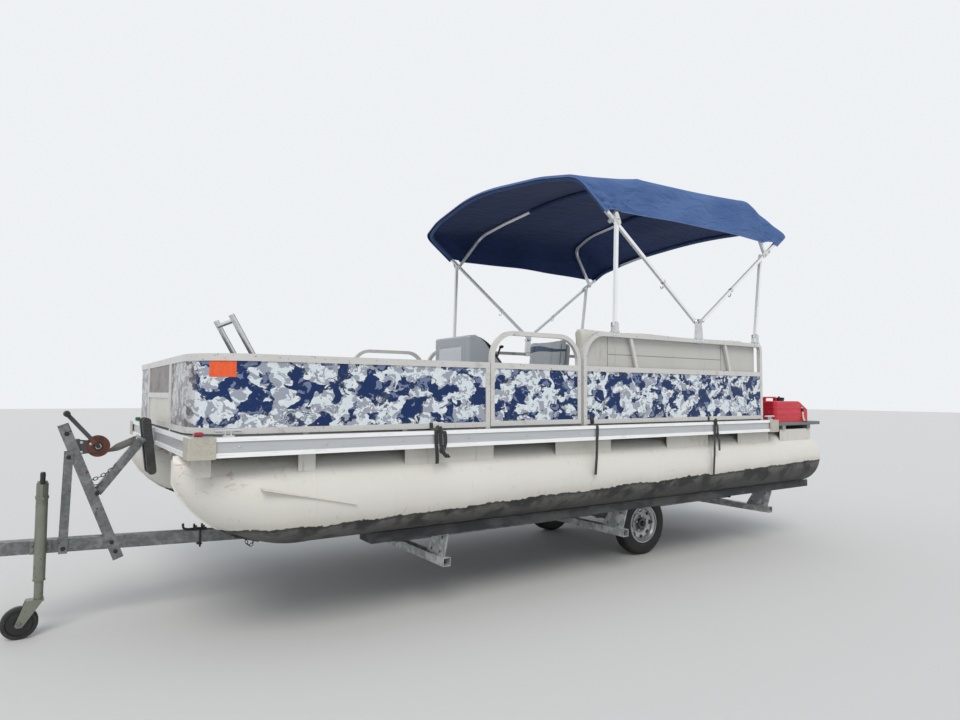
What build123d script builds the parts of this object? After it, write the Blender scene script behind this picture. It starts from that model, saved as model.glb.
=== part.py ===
# Pontoon boat with a folding sun top, standing on its bunk trailer.
# Millimetres. X runs forward, Y to port, Z up from the ground; the origin is under the middle.
import os
from math import cos, radians, sin, sqrt

from build123d import *

os.makedirs("parts", exist_ok=True)

# Overall sizes
BEAM = 2440
DECK_LENGTH = 4910
DECK_TOP = 1160
TONGUE_REACH = 1010
TRANSOM_AFT = DECK_LENGTH + 460
OUTBOARD_DEPTH = 600
STERN_REACH = TRANSOM_AFT + OUTBOARD_DEPTH
BOW = (STERN_REACH - TONGUE_REACH) / 2
FIT = 0.3


def x_at(aft):
    """X of a place given by its distance aft of the deck's bow edge."""
    return BOW - aft


def z_at(height):
    """Z of a place given by its height over the deck."""
    return DECK_TOP + height


def station(aft):
    """A cross section plane, facing forward, with local x to port and local y up."""
    return Plane.YZ.offset(x_at(aft))


def side_plane(y):
    """A lengthwise plane, local x forward and local y up, facing starboard."""
    return Plane.XZ.offset(-y)


def level(height):
    """A horizontal plane at a height over the deck."""
    return Plane.XY.offset(z_at(height))


def block(aft_0, aft_1, y_0, y_1, height_0, height_1, mode=Mode.ADD):
    """A box between two stations, two widths and two heights."""
    middle = (
        (x_at(aft_0) + x_at(aft_1)) / 2,
        (y_0 + y_1) / 2,
        (z_at(height_0) + z_at(height_1)) / 2,
    )
    with Locations(middle):
        Box(abs(aft_1 - aft_0), abs(y_1 - y_0), abs(height_1 - height_0), mode=mode)


def side_profile(points, y_0, y_1, mode=Mode.ADD):
    """A closed outline of (aft, height) points, carried across from y_0 to y_1."""
    with BuildSketch(side_plane(min(y_0, y_1))) as outline:
        with BuildLine():
            Polyline(*[(x_at(aft), z_at(height)) for aft, height in points], close=True)
        make_face()
    extrude(outline.sketch, amount=-abs(y_1 - y_0), mode=mode)


def rod(start, end, radius, mode=Mode.ADD):
    """A round bar between two points given as (x, y, z)."""
    a = Vector(*start)
    b = Vector(*end)
    with BuildSketch(Plane(origin=a, z_dir=(b - a).normalized())) as disc:
        Circle(radius)
    extrude(disc.sketch, amount=(b - a).length, mode=mode)


# Pontoons: two closed tubes whose noses rise to a sharp stem, with a strake on each flank
TUBE_R = 255
TUBE_Y = BEAM / 2 - 280
TUBE_TOP = -105
TUBE_STERN = DECK_LENGTH + 720
TUBE_Z = TUBE_TOP - TUBE_R
NOSE_LENGTH = 700
NOSE_TIP = -50
NOSE_BASE = NOSE_TIP + NOSE_LENGTH
NOSE_SHARES = (0, 0.42, 0.70, 0.87, 0.965)
STEM_SHARES = (0.965, 0.93, 0.87, 0.78, 0.66, 0.50, 0.32)
STEM_PROUD = 7
STEM_THICK = 6
STRAKE_FRONT = (364, TUBE_Z + 87)
STRAKE_BACK = (881, TUBE_Z - 30)
STRAKE_THICK = 6
STRAKE_REACH = TUBE_R + 12
STRAKE_ROOT = 170


def nose_drop(share):
    """Height of the nose's bottom at a share of its length from the round tube."""
    return TUBE_TOP - 2 * TUBE_R * sqrt(1 - share**2)


def nose_aft(share):
    """Distance aft of the deck's edge at a share of the nose's length."""
    return NOSE_BASE - NOSE_LENGTH * share


with BuildPart() as pontoons:
    for side in (1, -1):
        centre = side * TUBE_Y
        for share in NOSE_SHARES:
            bottom = z_at(nose_drop(share))
            top = z_at(TUBE_TOP)
            half_width = TUBE_R * (1 - share**2.2)
            with BuildSketch(station(nose_aft(share))):
                with BuildLine():
                    for bulge in (half_width, -half_width):
                        ThreePointArc(
                            (centre, bottom), (centre + bulge, (bottom + top) / 2), (centre, top)
                        )
                make_face()
        loft()
        with BuildSketch(station(NOSE_BASE)):
            with Locations((centre, z_at(TUBE_Z))):
                Circle(TUBE_R)
        extrude(amount=-(TUBE_STERN - NOSE_BASE))
        stem = [(nose_aft(share), nose_drop(share)) for share in STEM_SHARES]
        side_profile(
            [(aft - STEM_PROUD, height - STEM_PROUD) for aft, height in stem]
            + [(stem[-1][0], TUBE_TOP - 20), (nose_aft(NOSE_SHARES[-1]) - STEM_PROUD, TUBE_TOP - 20)],
            centre - STEM_THICK / 2,
            centre + STEM_THICK / 2,
        )
        for flank in (1, -1):
            side_profile(
                (
                    STRAKE_FRONT,
                    STRAKE_BACK,
                    (STRAKE_BACK[0], STRAKE_BACK[1] - STRAKE_THICK),
                    (STRAKE_FRONT[0], STRAKE_FRONT[1] - STRAKE_THICK),
                ),
                centre + flank * STRAKE_ROOT,
                centre + flank * STRAKE_REACH,
            )
pontoons.part.label = "pontoons"
export_step(pontoons.part, "parts/pontoons.step")

# Risers: folded channels that stand on the tubes and carry the cross beams
RISER_HALF = 200
RISER_TALL = 200
RISER_WALL = 6
BEAM_BOTTOM = TUBE_TOP + 10
DECK_THICK = 25
WING_TOP = -30
WING_THICK = 28
WING_INNER = 350
WING_OUTER = BEAM / 2 - 55
WING_END = TUBE_STERN + 110
# front and back edge of each riser, aft of the bow edge
RISERS = (
    (30, 120),
    (566, 661),
    (1209, 1849),
    (2374, 2904),
    (3519, 4026),
    (DECK_LENGTH - 476, DECK_LENGTH - 30),
    (DECK_LENGTH + 155, DECK_LENGTH + 655),
)

with BuildPart() as deck_risers:
    for side in (1, -1):
        for front, back in RISERS:
            with BuildSketch(station(front)):
                with Locations((side * TUBE_Y, z_at(BEAM_BOTTOM - RISER_TALL / 2))):
                    Rectangle(2 * RISER_HALF, RISER_TALL)
                with Locations((side * TUBE_Y, z_at(BEAM_BOTTOM - RISER_TALL / 2 - RISER_WALL))):
                    Rectangle(2 * (RISER_HALF - RISER_WALL), RISER_TALL, mode=Mode.SUBTRACT)
                with Locations((side * TUBE_Y, z_at(TUBE_Z))):
                    Circle(TUBE_R + FIT, mode=Mode.SUBTRACT)
            extrude(amount=-(back - front))
deck_risers.part.label = "deck_risers"
export_step(deck_risers.part, "parts/deck_risers.step")

# Cross beams: channels under the deck, open to the stern, and short ones under the wings
# station of each cross beam
MAIN_BEAMS = (75, 613, 1250, 1800, 2420, 2860, 3560, 3985, DECK_LENGTH - 430, DECK_LENGTH - 60)
WING_BEAMS = (DECK_LENGTH + 200, DECK_LENGTH + 610)
BEAM_WIDTH = 50
BEAM_WALL = 5
BEAM_HALF = BEAM / 2 - 40
WING_BEAM_INSET = 10

with BuildPart() as deck_beams:
    for aft in MAIN_BEAMS:
        front = aft - BEAM_WIDTH / 2
        back = aft + BEAM_WIDTH / 2
        side_profile(
            (
                (back, -DECK_THICK),
                (front, -DECK_THICK),
                (front, BEAM_BOTTOM),
                (back, BEAM_BOTTOM),
                (back, BEAM_BOTTOM + BEAM_WALL),
                (front + BEAM_WALL, BEAM_BOTTOM + BEAM_WALL),
                (front + BEAM_WALL, -DECK_THICK - BEAM_WALL),
                (back, -DECK_THICK - BEAM_WALL),
            ),
            -BEAM_HALF,
            BEAM_HALF,
        )
    for side in (1, -1):
        for aft in WING_BEAMS:
            block(
                aft - BEAM_WIDTH / 2,
                aft + BEAM_WIDTH / 2,
                side * (WING_INNER + WING_BEAM_INSET),
                side * (WING_OUTER - WING_BEAM_INSET),
                BEAM_BOTTOM,
                WING_TOP - WING_THICK,
            )
deck_beams.part.label = "deck_beams"
export_step(deck_beams.part, "parts/deck_beams.step")

# Deck with its rub rail, corner caps and the two aft wings
RAIL_HEIGHT = 102
RAIL_THICK = 24
RAIL_GROOVE = 8
RAIL_LIP = 22
CAP_LENGTH = 125
CAP_WALL = 5

with BuildPart() as deck:
    block(
        RAIL_THICK,
        DECK_LENGTH - RAIL_THICK,
        -BEAM / 2 + RAIL_THICK,
        BEAM / 2 - RAIL_THICK,
        -DECK_THICK,
        0,
    )
deck.part.label = "deck"
export_step(deck.part, "parts/deck.step")

with BuildPart() as rub_rail:
    with BuildSketch(level(-RAIL_HEIGHT)):
        with Locations((x_at(DECK_LENGTH / 2), 0)):
            Rectangle(DECK_LENGTH, BEAM)
            Rectangle(DECK_LENGTH - 2 * RAIL_THICK, BEAM - 2 * RAIL_THICK, mode=Mode.SUBTRACT)
    extrude(amount=RAIL_HEIGHT)
    with BuildSketch(level(-RAIL_HEIGHT + RAIL_LIP)):
        with Locations((x_at(DECK_LENGTH / 2), 0)):
            Rectangle(DECK_LENGTH, BEAM)
            Rectangle(
                DECK_LENGTH - 2 * RAIL_GROOVE, BEAM - 2 * RAIL_GROOVE, mode=Mode.SUBTRACT
            )
    extrude(amount=RAIL_HEIGHT - 2 * RAIL_LIP, mode=Mode.SUBTRACT)
rub_rail.part.label = "rub_rail"
export_step(rub_rail.part, "parts/rub_rail.step")

with BuildPart() as corner_caps:
    for aft, inward in ((0, 1), (DECK_LENGTH, -1)):
        for side in (1, -1):
            edge = side * BEAM / 2
            block(
                aft - inward * CAP_WALL,
                aft + inward * CAP_LENGTH,
                edge + side * CAP_WALL,
                edge - side * CAP_LENGTH,
                -RAIL_HEIGHT - CAP_WALL,
                FIT,
            )
            block(
                aft - inward * FIT,
                aft + inward * (CAP_LENGTH + 1),
                edge + side * FIT,
                edge - side * (CAP_LENGTH + 1),
                -RAIL_HEIGHT - CAP_WALL - 1,
                FIT + 1,
                mode=Mode.SUBTRACT,
            )
    fillet(
        corner_caps.edges().filter_by(Axis.Z).group_by(
            lambda e: round(abs(e.center().Y) + abs(e.center().X - x_at(DECK_LENGTH / 2)), 0)
        )[-1],
        radius=CAP_WALL - 1,
    )
corner_caps.part.label = "corner_caps"
export_step(corner_caps.part, "parts/corner_caps.step")

with BuildPart() as aft_deck:
    for side in (1, -1):
        block(
            DECK_LENGTH + CAP_WALL + 1,
            WING_END,
            side * WING_INNER,
            side * WING_OUTER,
            WING_TOP - WING_THICK,
            WING_TOP,
        )
    fillet(aft_deck.edges().filter_by(Axis.Z).sort_by(Axis.X)[:4], radius=60)
aft_deck.part.label = "aft_deck"
export_step(aft_deck.part, "parts/aft_deck.step")

# Motor pod: a sealed box hung under the last beams, ending in the transom
POD_HALF = 280
TRANSOM_THICK = 45
TRANSOM_TOP = -85
POD_BOTTOM = -440

with BuildPart() as motor_pod:
    side_profile(
        (
            (4440, BEAM_BOTTOM),
            (DECK_LENGTH - RAIL_THICK - 5, BEAM_BOTTOM),
            (DECK_LENGTH - RAIL_THICK - 5, -175),
            (TRANSOM_AFT - TRANSOM_THICK, -175),
            (TRANSOM_AFT - TRANSOM_THICK, TRANSOM_TOP),
            (TRANSOM_AFT, TRANSOM_TOP),
            (TRANSOM_AFT, POD_BOTTOM),
            (5150, POD_BOTTOM),
            (4440, -220),
        ),
        -POD_HALF,
        POD_HALF,
    )
motor_pod.part.label = "motor_pod"
export_step(motor_pod.part, "parts/motor_pod.step")

# Fence: square tube frames with sheet panels, on small feet round the deck
FENCE_INSET = 74
FENCE_Y = BEAM / 2 - FENCE_INSET
FENCE_BOW = 40
FENCE_STERN = DECK_LENGTH - 153
FENCE_FOOT = 10
FENCE_TUBE = 32
FENCE_TOP = 425
TOP_RAIL = 38
CORNER_R = 300
PANEL_THICK = 3
PANEL_OUT = 8
BOW_GATE_HALF = 450
GATE_GAP = 6
SIDE_GATE_FRONT = 1812
SIDE_GATE_BACK = 2592


def bow_path(side, out):
    """The bow fence's centre line from its gate post round the corner to the side gate."""
    y = side * (FENCE_Y + out)
    start = side * (BOW_GATE_HALF + GATE_GAP + FENCE_TUBE / 2)
    FilletPolyline(
        (x_at(FENCE_BOW - out), start),
        (x_at(FENCE_BOW - out), y),
        (x_at(SIDE_GATE_FRONT - GATE_GAP), y),
        radius=CORNER_R + out,
    )


HINGE_PIN_R = 4
KNUCKLE_R = 8
KNUCKLE_H = 30
EAR_H = 8
EAR_GAP = 0.5
HINGE_HEIGHTS = (90, 340)


def hinge_pin(x, y, height, to_x, to_y):
    """A pin between two ears that reach back to the post at (to_x, to_y)."""
    for end in (1, -1):
        z = z_at(height) + end * (KNUCKLE_H / 2 + EAR_GAP + EAR_H / 2)
        with Locations((x, y, z)):
            Cylinder(KNUCKLE_R, EAR_H)
        with Locations(((x + to_x) / 2, (y + to_y) / 2, z)):
            Box(max(abs(to_x - x), 8), max(abs(to_y - y), 8), EAR_H)
    with Locations((x, y, z_at(height))):
        Cylinder(HINGE_PIN_R, KNUCKLE_H + 2 * EAR_GAP + EAR_H)


def hinge_knuckle(x, y, height, to_x, to_y):
    """A knuckle round the pin with a leaf to the gate at (to_x, to_y)."""
    with Locations((x, y, z_at(height))):
        Cylinder(KNUCKLE_R, KNUCKLE_H)
    with Locations(((x + to_x) / 2, (y + to_y) / 2, z_at(height))):
        Box(max(abs(to_x - x), 8), max(abs(to_y - y), 8), KNUCKLE_H)
    with Locations((x, y, z_at(height))):
        Cylinder(HINGE_PIN_R + 0.4, KNUCKLE_H + 2, mode=Mode.SUBTRACT)


HINGE_IN = FENCE_TUBE / 2 + KNUCKLE_R
SIDE_HINGE_AFT = SIDE_GATE_FRONT - GATE_GAP / 2
SIDE_HINGE_Y = FENCE_Y - HINGE_IN
BOW_HINGE_AFT = FENCE_BOW + HINGE_IN
BOW_HINGE_Y = -(BOW_GATE_HALF + GATE_GAP / 2)

with BuildPart() as bow_fences:
    for side in (1, -1):
        for low, high in ((FENCE_FOOT, FENCE_FOOT + FENCE_TUBE), (FENCE_TOP - TOP_RAIL, FENCE_TOP)):
            with BuildSketch(level(low)):
                with BuildLine():
                    bow_path(side, 0)
                trace(line_width=FENCE_TUBE)
            extrude(amount=high - low)
        y = side * FENCE_Y
        gate_post = side * (BOW_GATE_HALF + GATE_GAP + FENCE_TUBE / 2)
        half = FENCE_TUBE / 2
        block(
            FENCE_BOW - half, FENCE_BOW + half, gate_post - half, gate_post + half, 0, FENCE_TOP
        )
        end = SIDE_GATE_FRONT - GATE_GAP
        block(end - FENCE_TUBE, end, y - half, y + half, 0, FENCE_TOP)
        for aft in (600, 1200):
            inner = side * (FENCE_Y - half)
            block(aft - half, aft + half, inner, side * (FENCE_Y + 5), 0, FENCE_TOP - TOP_RAIL)
        for height in HINGE_HEIGHTS:
            hinge_pin(
                x_at(SIDE_HINGE_AFT),
                side * SIDE_HINGE_Y,
                height,
                x_at(SIDE_HINGE_AFT) + 14,
                side * (SIDE_HINGE_Y + KNUCKLE_R),
            )
    for height in HINGE_HEIGHTS:
        hinge_pin(
            x_at(BOW_HINGE_AFT),
            BOW_HINGE_Y,
            height,
            x_at(BOW_HINGE_AFT) + KNUCKLE_R,
            BOW_HINGE_Y - 14,
        )
bow_fences.part.label = "bow_fences"
export_step(bow_fences.part, "parts/bow_fences.step")

# Bow gate: a low frame with two panels, hinged on its starboard post and opening inward
GATE_LIFT = 14
BOW_GATE_MID = 205

with BuildPart() as bow_gate:
    front = FENCE_BOW - FENCE_TUBE / 2
    back = FENCE_BOW + FENCE_TUBE / 2
    block(front, back, -BOW_GATE_HALF, BOW_GATE_HALF, GATE_LIFT, FENCE_TOP)
    inner = BOW_GATE_HALF - FENCE_TUBE
    for low, high in (
        (GATE_LIFT + FENCE_TUBE, BOW_GATE_MID - FENCE_TUBE / 2),
        (BOW_GATE_MID + FENCE_TUBE / 2, FENCE_TOP - TOP_RAIL),
    ):
        block(front - 1, back + 1, -inner, inner, low, high, mode=Mode.SUBTRACT)
    for height in HINGE_HEIGHTS:
        hinge_knuckle(
            x_at(BOW_HINGE_AFT),
            BOW_HINGE_Y,
            height,
            x_at(BOW_HINGE_AFT) + KNUCKLE_R,
            BOW_HINGE_Y + 14,
        )
bow_gate.part.label = "bow_gate"
export_step(bow_gate.part, "parts/bow_gate.step")

with BuildPart() as bow_gate_panels:
    for low, high in (
        (GATE_LIFT + FENCE_TUBE, BOW_GATE_MID - FENCE_TUBE / 2),
        (BOW_GATE_MID + FENCE_TUBE / 2, FENCE_TOP - TOP_RAIL),
    ):
        middle = FENCE_BOW - PANEL_OUT
        block(middle - 1.5, middle + 1.5, -inner, inner, low, high)
bow_gate_panels.part.label = "bow_gate_panels"
export_step(bow_gate_panels.part, "parts/bow_gate_panels.step")

# Side gates: a tall loop of tube with a panel in its lower half, hinged at the front
LOOP_TOP = 640
LOOP_R = 175
LOOP_TUBE = 30

for side, name in ((1, "port_gate"), (-1, "starboard_gate")):
    with BuildPart() as gate:
        half = LOOP_TUBE / 2
        front = SIDE_GATE_FRONT + half
        back = SIDE_GATE_BACK - half
        with BuildSketch(side_plane(side * FENCE_Y)):
            with BuildLine():
                FilletPolyline(
                    (x_at(front), z_at(GATE_LIFT)),
                    (x_at(front), z_at(LOOP_TOP - half)),
                    (x_at(back), z_at(LOOP_TOP - half)),
                    (x_at(back), z_at(GATE_LIFT)),
                    radius=LOOP_R,
                )
            trace(line_width=LOOP_TUBE)
        extrude(amount=half, both=True)
        for low, high in ((GATE_LIFT, GATE_LIFT + FENCE_TUBE), (FENCE_TOP - TOP_RAIL, FENCE_TOP)):
            y = side * FENCE_Y
            block(front, back, y - half, y + half, low, high)
        for height in HINGE_HEIGHTS:
            hinge_knuckle(
                x_at(SIDE_HINGE_AFT),
                side * SIDE_HINGE_Y,
                height,
                x_at(SIDE_HINGE_AFT) - 14,
                side * (SIDE_HINGE_Y + KNUCKLE_R + 1),
            )
    gate.part.label = name
    export_step(gate.part, f"parts/{name}.step")
    with BuildPart() as gate_panel:
        y = side * (FENCE_Y + PANEL_OUT)
        block(
            SIDE_GATE_FRONT + LOOP_TUBE,
            SIDE_GATE_BACK - LOOP_TUBE,
            y - PANEL_THICK / 2,
            y + PANEL_THICK / 2,
            GATE_LIFT + FENCE_TUBE,
            FENCE_TOP - TOP_RAIL,
        )
    gate_panel.part.label = name + "_panel"
    export_step(gate_panel.part, f"parts/{name}_panel.step")

# Aft fence: a side frame each way with a taller bent rail, and a low frame across the stern
AFT_FRONT = SIDE_GATE_BACK + 26
UPPER_RAIL = 665
UPPER_R = 16
UPPER_BEND = 190
STERN_BEND = 40
RAIL_STRUT_HALF = 14
RAIL_STRUT_THICK = 8
# foot and head station of the leaning struts under the upper rail
RAIL_STRUTS = ((3176, 3113), (4323, 4259))
FENCE_LEVELS = ((FENCE_FOOT, FENCE_FOOT + FENCE_TUBE), (FENCE_TOP - TOP_RAIL, FENCE_TOP))

for side, name in ((1, "port_aft_fence"), (-1, "starboard_aft_fence")):
    with BuildPart() as aft_fence:
        half = FENCE_TUBE / 2
        front = AFT_FRONT + half
        y = side * FENCE_Y
        with BuildSketch(side_plane(y)):
            with BuildLine():
                FilletPolyline(
                    (x_at(front), z_at(0)),
                    (x_at(front), z_at(UPPER_RAIL)),
                    (x_at(FENCE_STERN), z_at(UPPER_RAIL)),
                    (x_at(FENCE_STERN), z_at(0)),
                    radius=(UPPER_BEND, STERN_BEND),
                )
            trace(line_width=2 * UPPER_R)
        extrude(amount=half, both=True)
        for low, high in FENCE_LEVELS:
            block(front, FENCE_STERN, y - half, y + half, low, high)
        for foot, head in RAIL_STRUTS:
            side_profile(
                (
                    (foot - RAIL_STRUT_HALF, FENCE_TOP),
                    (foot + RAIL_STRUT_HALF, FENCE_TOP),
                    (head + RAIL_STRUT_HALF, UPPER_RAIL - UPPER_R),
                    (head - RAIL_STRUT_HALF, UPPER_RAIL - UPPER_R),
                ),
                y - RAIL_STRUT_THICK,
                y + RAIL_STRUT_THICK,
            )
    aft_fence.part.label = name
    export_step(aft_fence.part, f"parts/{name}.step")

with BuildPart() as stern_fence:
    reach = FENCE_Y - FENCE_TUBE / 2
    for low, high in FENCE_LEVELS:
        block(FENCE_STERN - half, FENCE_STERN + half, -reach, reach, low, high)
    block(FENCE_STERN - half, FENCE_STERN + half, -half, half, 0, FENCE_TOP)
stern_fence.part.label = "stern_fence"
export_step(stern_fence.part, "parts/stern_fence.step")

# Sheet panels: one bent round each bow corner, one along each side, two across the stern
with BuildPart() as fence_panels:
    low = FENCE_FOOT + FENCE_TUBE
    high = FENCE_TOP - TOP_RAIL
    gate_post = BOW_GATE_HALF + GATE_GAP + FENCE_TUBE / 2
    end = SIDE_GATE_FRONT - GATE_GAP
    for side in (1, -1):
        with BuildSketch(level(low)):
            with BuildLine():
                bow_path(side, PANEL_OUT)
            trace(line_width=PANEL_THICK)
        extrude(amount=high - low)
        block(
            FENCE_BOW - FENCE_TUBE,
            FENCE_BOW + FENCE_TUBE,
            side * (gate_post - half),
            side * (gate_post + half),
            0,
            FENCE_TOP,
            mode=Mode.SUBTRACT,
        )
        block(
            end - FENCE_TUBE,
            end + GATE_GAP,
            side * (FENCE_Y - FENCE_TUBE),
            side * (FENCE_Y + FENCE_TUBE),
            0,
            FENCE_TOP,
            mode=Mode.SUBTRACT,
        )
        y = side * (FENCE_Y + PANEL_OUT)
        block(
            AFT_FRONT + FENCE_TUBE,
            FENCE_STERN - half,
            y - PANEL_THICK / 2,
            y + PANEL_THICK / 2,
            low,
            high,
        )
        middle = FENCE_STERN + PANEL_OUT
        block(
            middle - PANEL_THICK / 2,
            middle + PANEL_THICK / 2,
            side * half,
            side * (FENCE_Y - half),
            low,
            high,
        )
fence_panels.part.label = "fence_panels"
export_step(fence_panels.part, "parts/fence_panels.step")

# Helm console on the starboard side: a moulded box with a sloping dash and a door in its front
HELM_Y = -(BEAM / 2 - 560)
HELM_HALF = 300
HELM_FRONT = 2600
HELM_BACK = 3040
HELM_TOP = 765
HELM_BROW = (HELM_FRONT + 100, HELM_TOP)
DASH_HIGH = (2770, 730)
DASH_LOW = (HELM_BACK, 430)
HELM_CORNER_R = 45
HELM_TOP_R = 22
DOOR_HALF = 205
DOOR_LOW = 120
DOOR_HIGH = 660
DOOR_R = 40
DOOR_GROOVE = 6
WHEEL_R = 165
WHEEL_TUBE = 14

with BuildPart() as helm_console:
    side_profile(
        (
            (HELM_FRONT, 0),
            (HELM_FRONT, HELM_TOP - 12),
            HELM_BROW,
            DASH_HIGH,
            DASH_LOW,
            (HELM_BACK, 0),
        ),
        HELM_Y - HELM_HALF,
        HELM_Y + HELM_HALF,
    )
    fillet(helm_console.edges().filter_by(Axis.Z).sort_by(Axis.X)[-2:], radius=HELM_CORNER_R)
    fillet(
        helm_console.edges().filter_by_position(Axis.Z, z_at(HELM_TOP - 40), z_at(HELM_TOP + 1)),
        radius=HELM_TOP_R,
    )
    with BuildSketch(station(HELM_FRONT)) as door:
        with Locations((HELM_Y, z_at((DOOR_LOW + DOOR_HIGH) / 2))):
            RectangleRounded(2 * DOOR_HALF, DOOR_HIGH - DOOR_LOW, DOOR_R)
            RectangleRounded(
                2 * (DOOR_HALF - DOOR_GROOVE),
                DOOR_HIGH - DOOR_LOW - 2 * DOOR_GROOVE,
                DOOR_R - DOOR_GROOVE,
                mode=Mode.SUBTRACT,
            )
    extrude(door.sketch, amount=-DOOR_GROOVE, mode=Mode.SUBTRACT)
helm_console.part.label = "helm_console"
export_step(helm_console.part, "parts/helm_console.step")

DASH_RUN = DASH_LOW[0] - DASH_HIGH[0]
DASH_DROP = DASH_HIGH[1] - DASH_LOW[1]
DASH_LENGTH = sqrt(DASH_RUN**2 + DASH_DROP**2)
DASH_NORMAL = Vector(-DASH_DROP / DASH_LENGTH, 0, DASH_RUN / DASH_LENGTH)
DASH_MIDDLE = Vector(
    x_at((DASH_LOW[0] + DASH_HIGH[0]) / 2), HELM_Y, z_at((DASH_LOW[1] + DASH_HIGH[1]) / 2)
)
WHEEL_STAND = 95
WHEEL_THICK = 18
WHEEL_HUB_R = 42
WHEEL_SPOKE = 26
WHEEL_SHAFT_R = 24

with BuildPart() as steering_wheel:
    wheel_plane = Plane(
        origin=DASH_MIDDLE + DASH_NORMAL * WHEEL_STAND, x_dir=(0, 1, 0), z_dir=DASH_NORMAL
    )
    with BuildSketch(wheel_plane.offset(-WHEEL_THICK / 2)):
        Circle(WHEEL_R + WHEEL_TUBE)
        Circle(WHEEL_R - WHEEL_TUBE, mode=Mode.SUBTRACT)
        Circle(WHEEL_HUB_R)
        with PolarLocations(WHEEL_R / 2, 3, start_angle=90):
            Rectangle(WHEEL_R, WHEEL_SPOKE)
    extrude(amount=WHEEL_THICK)
    with BuildSketch(wheel_plane.offset(-WHEEL_STAND + FIT)):
        Circle(WHEEL_SHAFT_R)
    extrude(amount=WHEEL_STAND - FIT)
steering_wheel.part.label = "steering_wheel"
export_step(steering_wheel.part, "parts/steering_wheel.step")

# Captain's chair: a moulded bucket on a pedestal with a free swivel
CHAIR_AFT = 3600
CHAIR_Y = HELM_Y
CHAIR_FLOOR = 290
CHAIR_FOOT_R = 150
CHAIR_FOOT_THICK = 12
CHAIR_POST_R = 37
SPINDLE_R = 18
SPINDLE_DEPTH = 70
SWIVEL_GAP = 0.5

with BuildPart() as chair_pedestal:
    with BuildSketch(level(0)):
        with Locations((x_at(CHAIR_AFT), CHAIR_Y)):
            Circle(CHAIR_FOOT_R)
    extrude(amount=CHAIR_FOOT_THICK)
    with BuildSketch(level(CHAIR_FOOT_THICK)):
        with Locations((x_at(CHAIR_AFT), CHAIR_Y)):
            Circle(CHAIR_POST_R)
    extrude(amount=CHAIR_FLOOR - CHAIR_FOOT_THICK)
    foot_rims = chair_pedestal.edges().filter_by(GeomType.CIRCLE).group_by(SortBy.RADIUS)[-1]
    fillet(foot_rims.sort_by(Axis.Z)[-1:], radius=CHAIR_FOOT_THICK / 2)
    with BuildSketch(level(CHAIR_FLOOR)):
        with Locations((x_at(CHAIR_AFT), CHAIR_Y)):
            Circle(SPINDLE_R + FIT)
    extrude(amount=-SPINDLE_DEPTH - SWIVEL_GAP, mode=Mode.SUBTRACT)
chair_pedestal.part.label = "chair_pedestal"
export_step(chair_pedestal.part, "parts/chair_pedestal.step")

CHAIR_HALF = 270
CHAIR_CORNER_R = 70
SEAT_FRONT = CHAIR_AFT - 250
SEAT_BACK = CHAIR_AFT + 250
SEAT_BED = CHAIR_FLOOR + SWIVEL_GAP
SEAT_PLATE = 20
SEAT_TRAY = 50
CHAIR_TOP = 745
CHAIR_LEAN = 45
CHAIR_SHELL = 35

with BuildPart() as captain_chair:
    with BuildSketch(level(SEAT_BED - SPINDLE_DEPTH)):
        with Locations((x_at(CHAIR_AFT), CHAIR_Y)):
            Circle(SPINDLE_R)
    extrude(amount=SPINDLE_DEPTH)
    block(SEAT_FRONT + 60, SEAT_BACK - 60, CHAIR_Y - 170, CHAIR_Y + 170, SEAT_BED, SEAT_BED + SEAT_PLATE)
    with BuildSketch(level(SEAT_BED + SEAT_PLATE)):
        with Locations((x_at(CHAIR_AFT), CHAIR_Y)):
            RectangleRounded(SEAT_BACK - SEAT_FRONT, 2 * CHAIR_HALF, CHAIR_CORNER_R)
    extrude(amount=SEAT_TRAY - SEAT_PLATE)
    lean = Vector(-CHAIR_LEAN, 0, CHAIR_TOP - SEAT_BED - SEAT_TRAY).normalized()
    back_plane = Plane(
        origin=(x_at(SEAT_BACK - 55), CHAIR_Y, z_at(SEAT_BED + SEAT_TRAY)),
        x_dir=(0, 1, 0),
        z_dir=Vector(0, 1, 0).cross(lean),
    )
    back_tall = CHAIR_TOP - SEAT_BED - SEAT_TRAY
    with BuildSketch(back_plane) as back_rest:
        with Locations((0, back_tall / 2)):
            RectangleRounded(2 * CHAIR_HALF, back_tall, CHAIR_CORNER_R)
        with Locations((0, CHAIR_CORNER_R / 2)):
            Rectangle(2 * CHAIR_HALF - 2 * CHAIR_CORNER_R, CHAIR_CORNER_R + 30)
    extrude(back_rest.sketch, amount=-CHAIR_SHELL)
captain_chair.part.label = "captain_chair"
export_step(captain_chair.part, "parts/captain_chair.step")

CHAIR_PAD_EDGE = 5
SEAT_PAD_TOP = SEAT_BED + 150
BACK_PAD_DEPTH = 85

with BuildPart() as captain_cushions:
    pad_half = CHAIR_HALF - CHAIR_PAD_EDGE
    with BuildSketch(level(SEAT_BED + SEAT_TRAY + FIT)):
        with Locations((x_at((SEAT_FRONT + SEAT_BACK - 150) / 2), CHAIR_Y)):
            RectangleRounded(SEAT_BACK - 150 - SEAT_FRONT, 2 * pad_half, CHAIR_CORNER_R - 10)
    extrude(amount=SEAT_PAD_TOP - SEAT_BED - SEAT_TRAY)
    with BuildSketch(back_plane.offset(FIT)) as back_pad:
        with Locations((0, (back_tall + 25) / 2 + FIT)):
            RectangleRounded(2 * pad_half, back_tall + 25, CHAIR_CORNER_R)
    extrude(back_pad.sketch, amount=BACK_PAD_DEPTH)
captain_cushions.part.label = "captain_cushions"
export_step(captain_cushions.part, "parts/captain_cushions.step")

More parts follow.
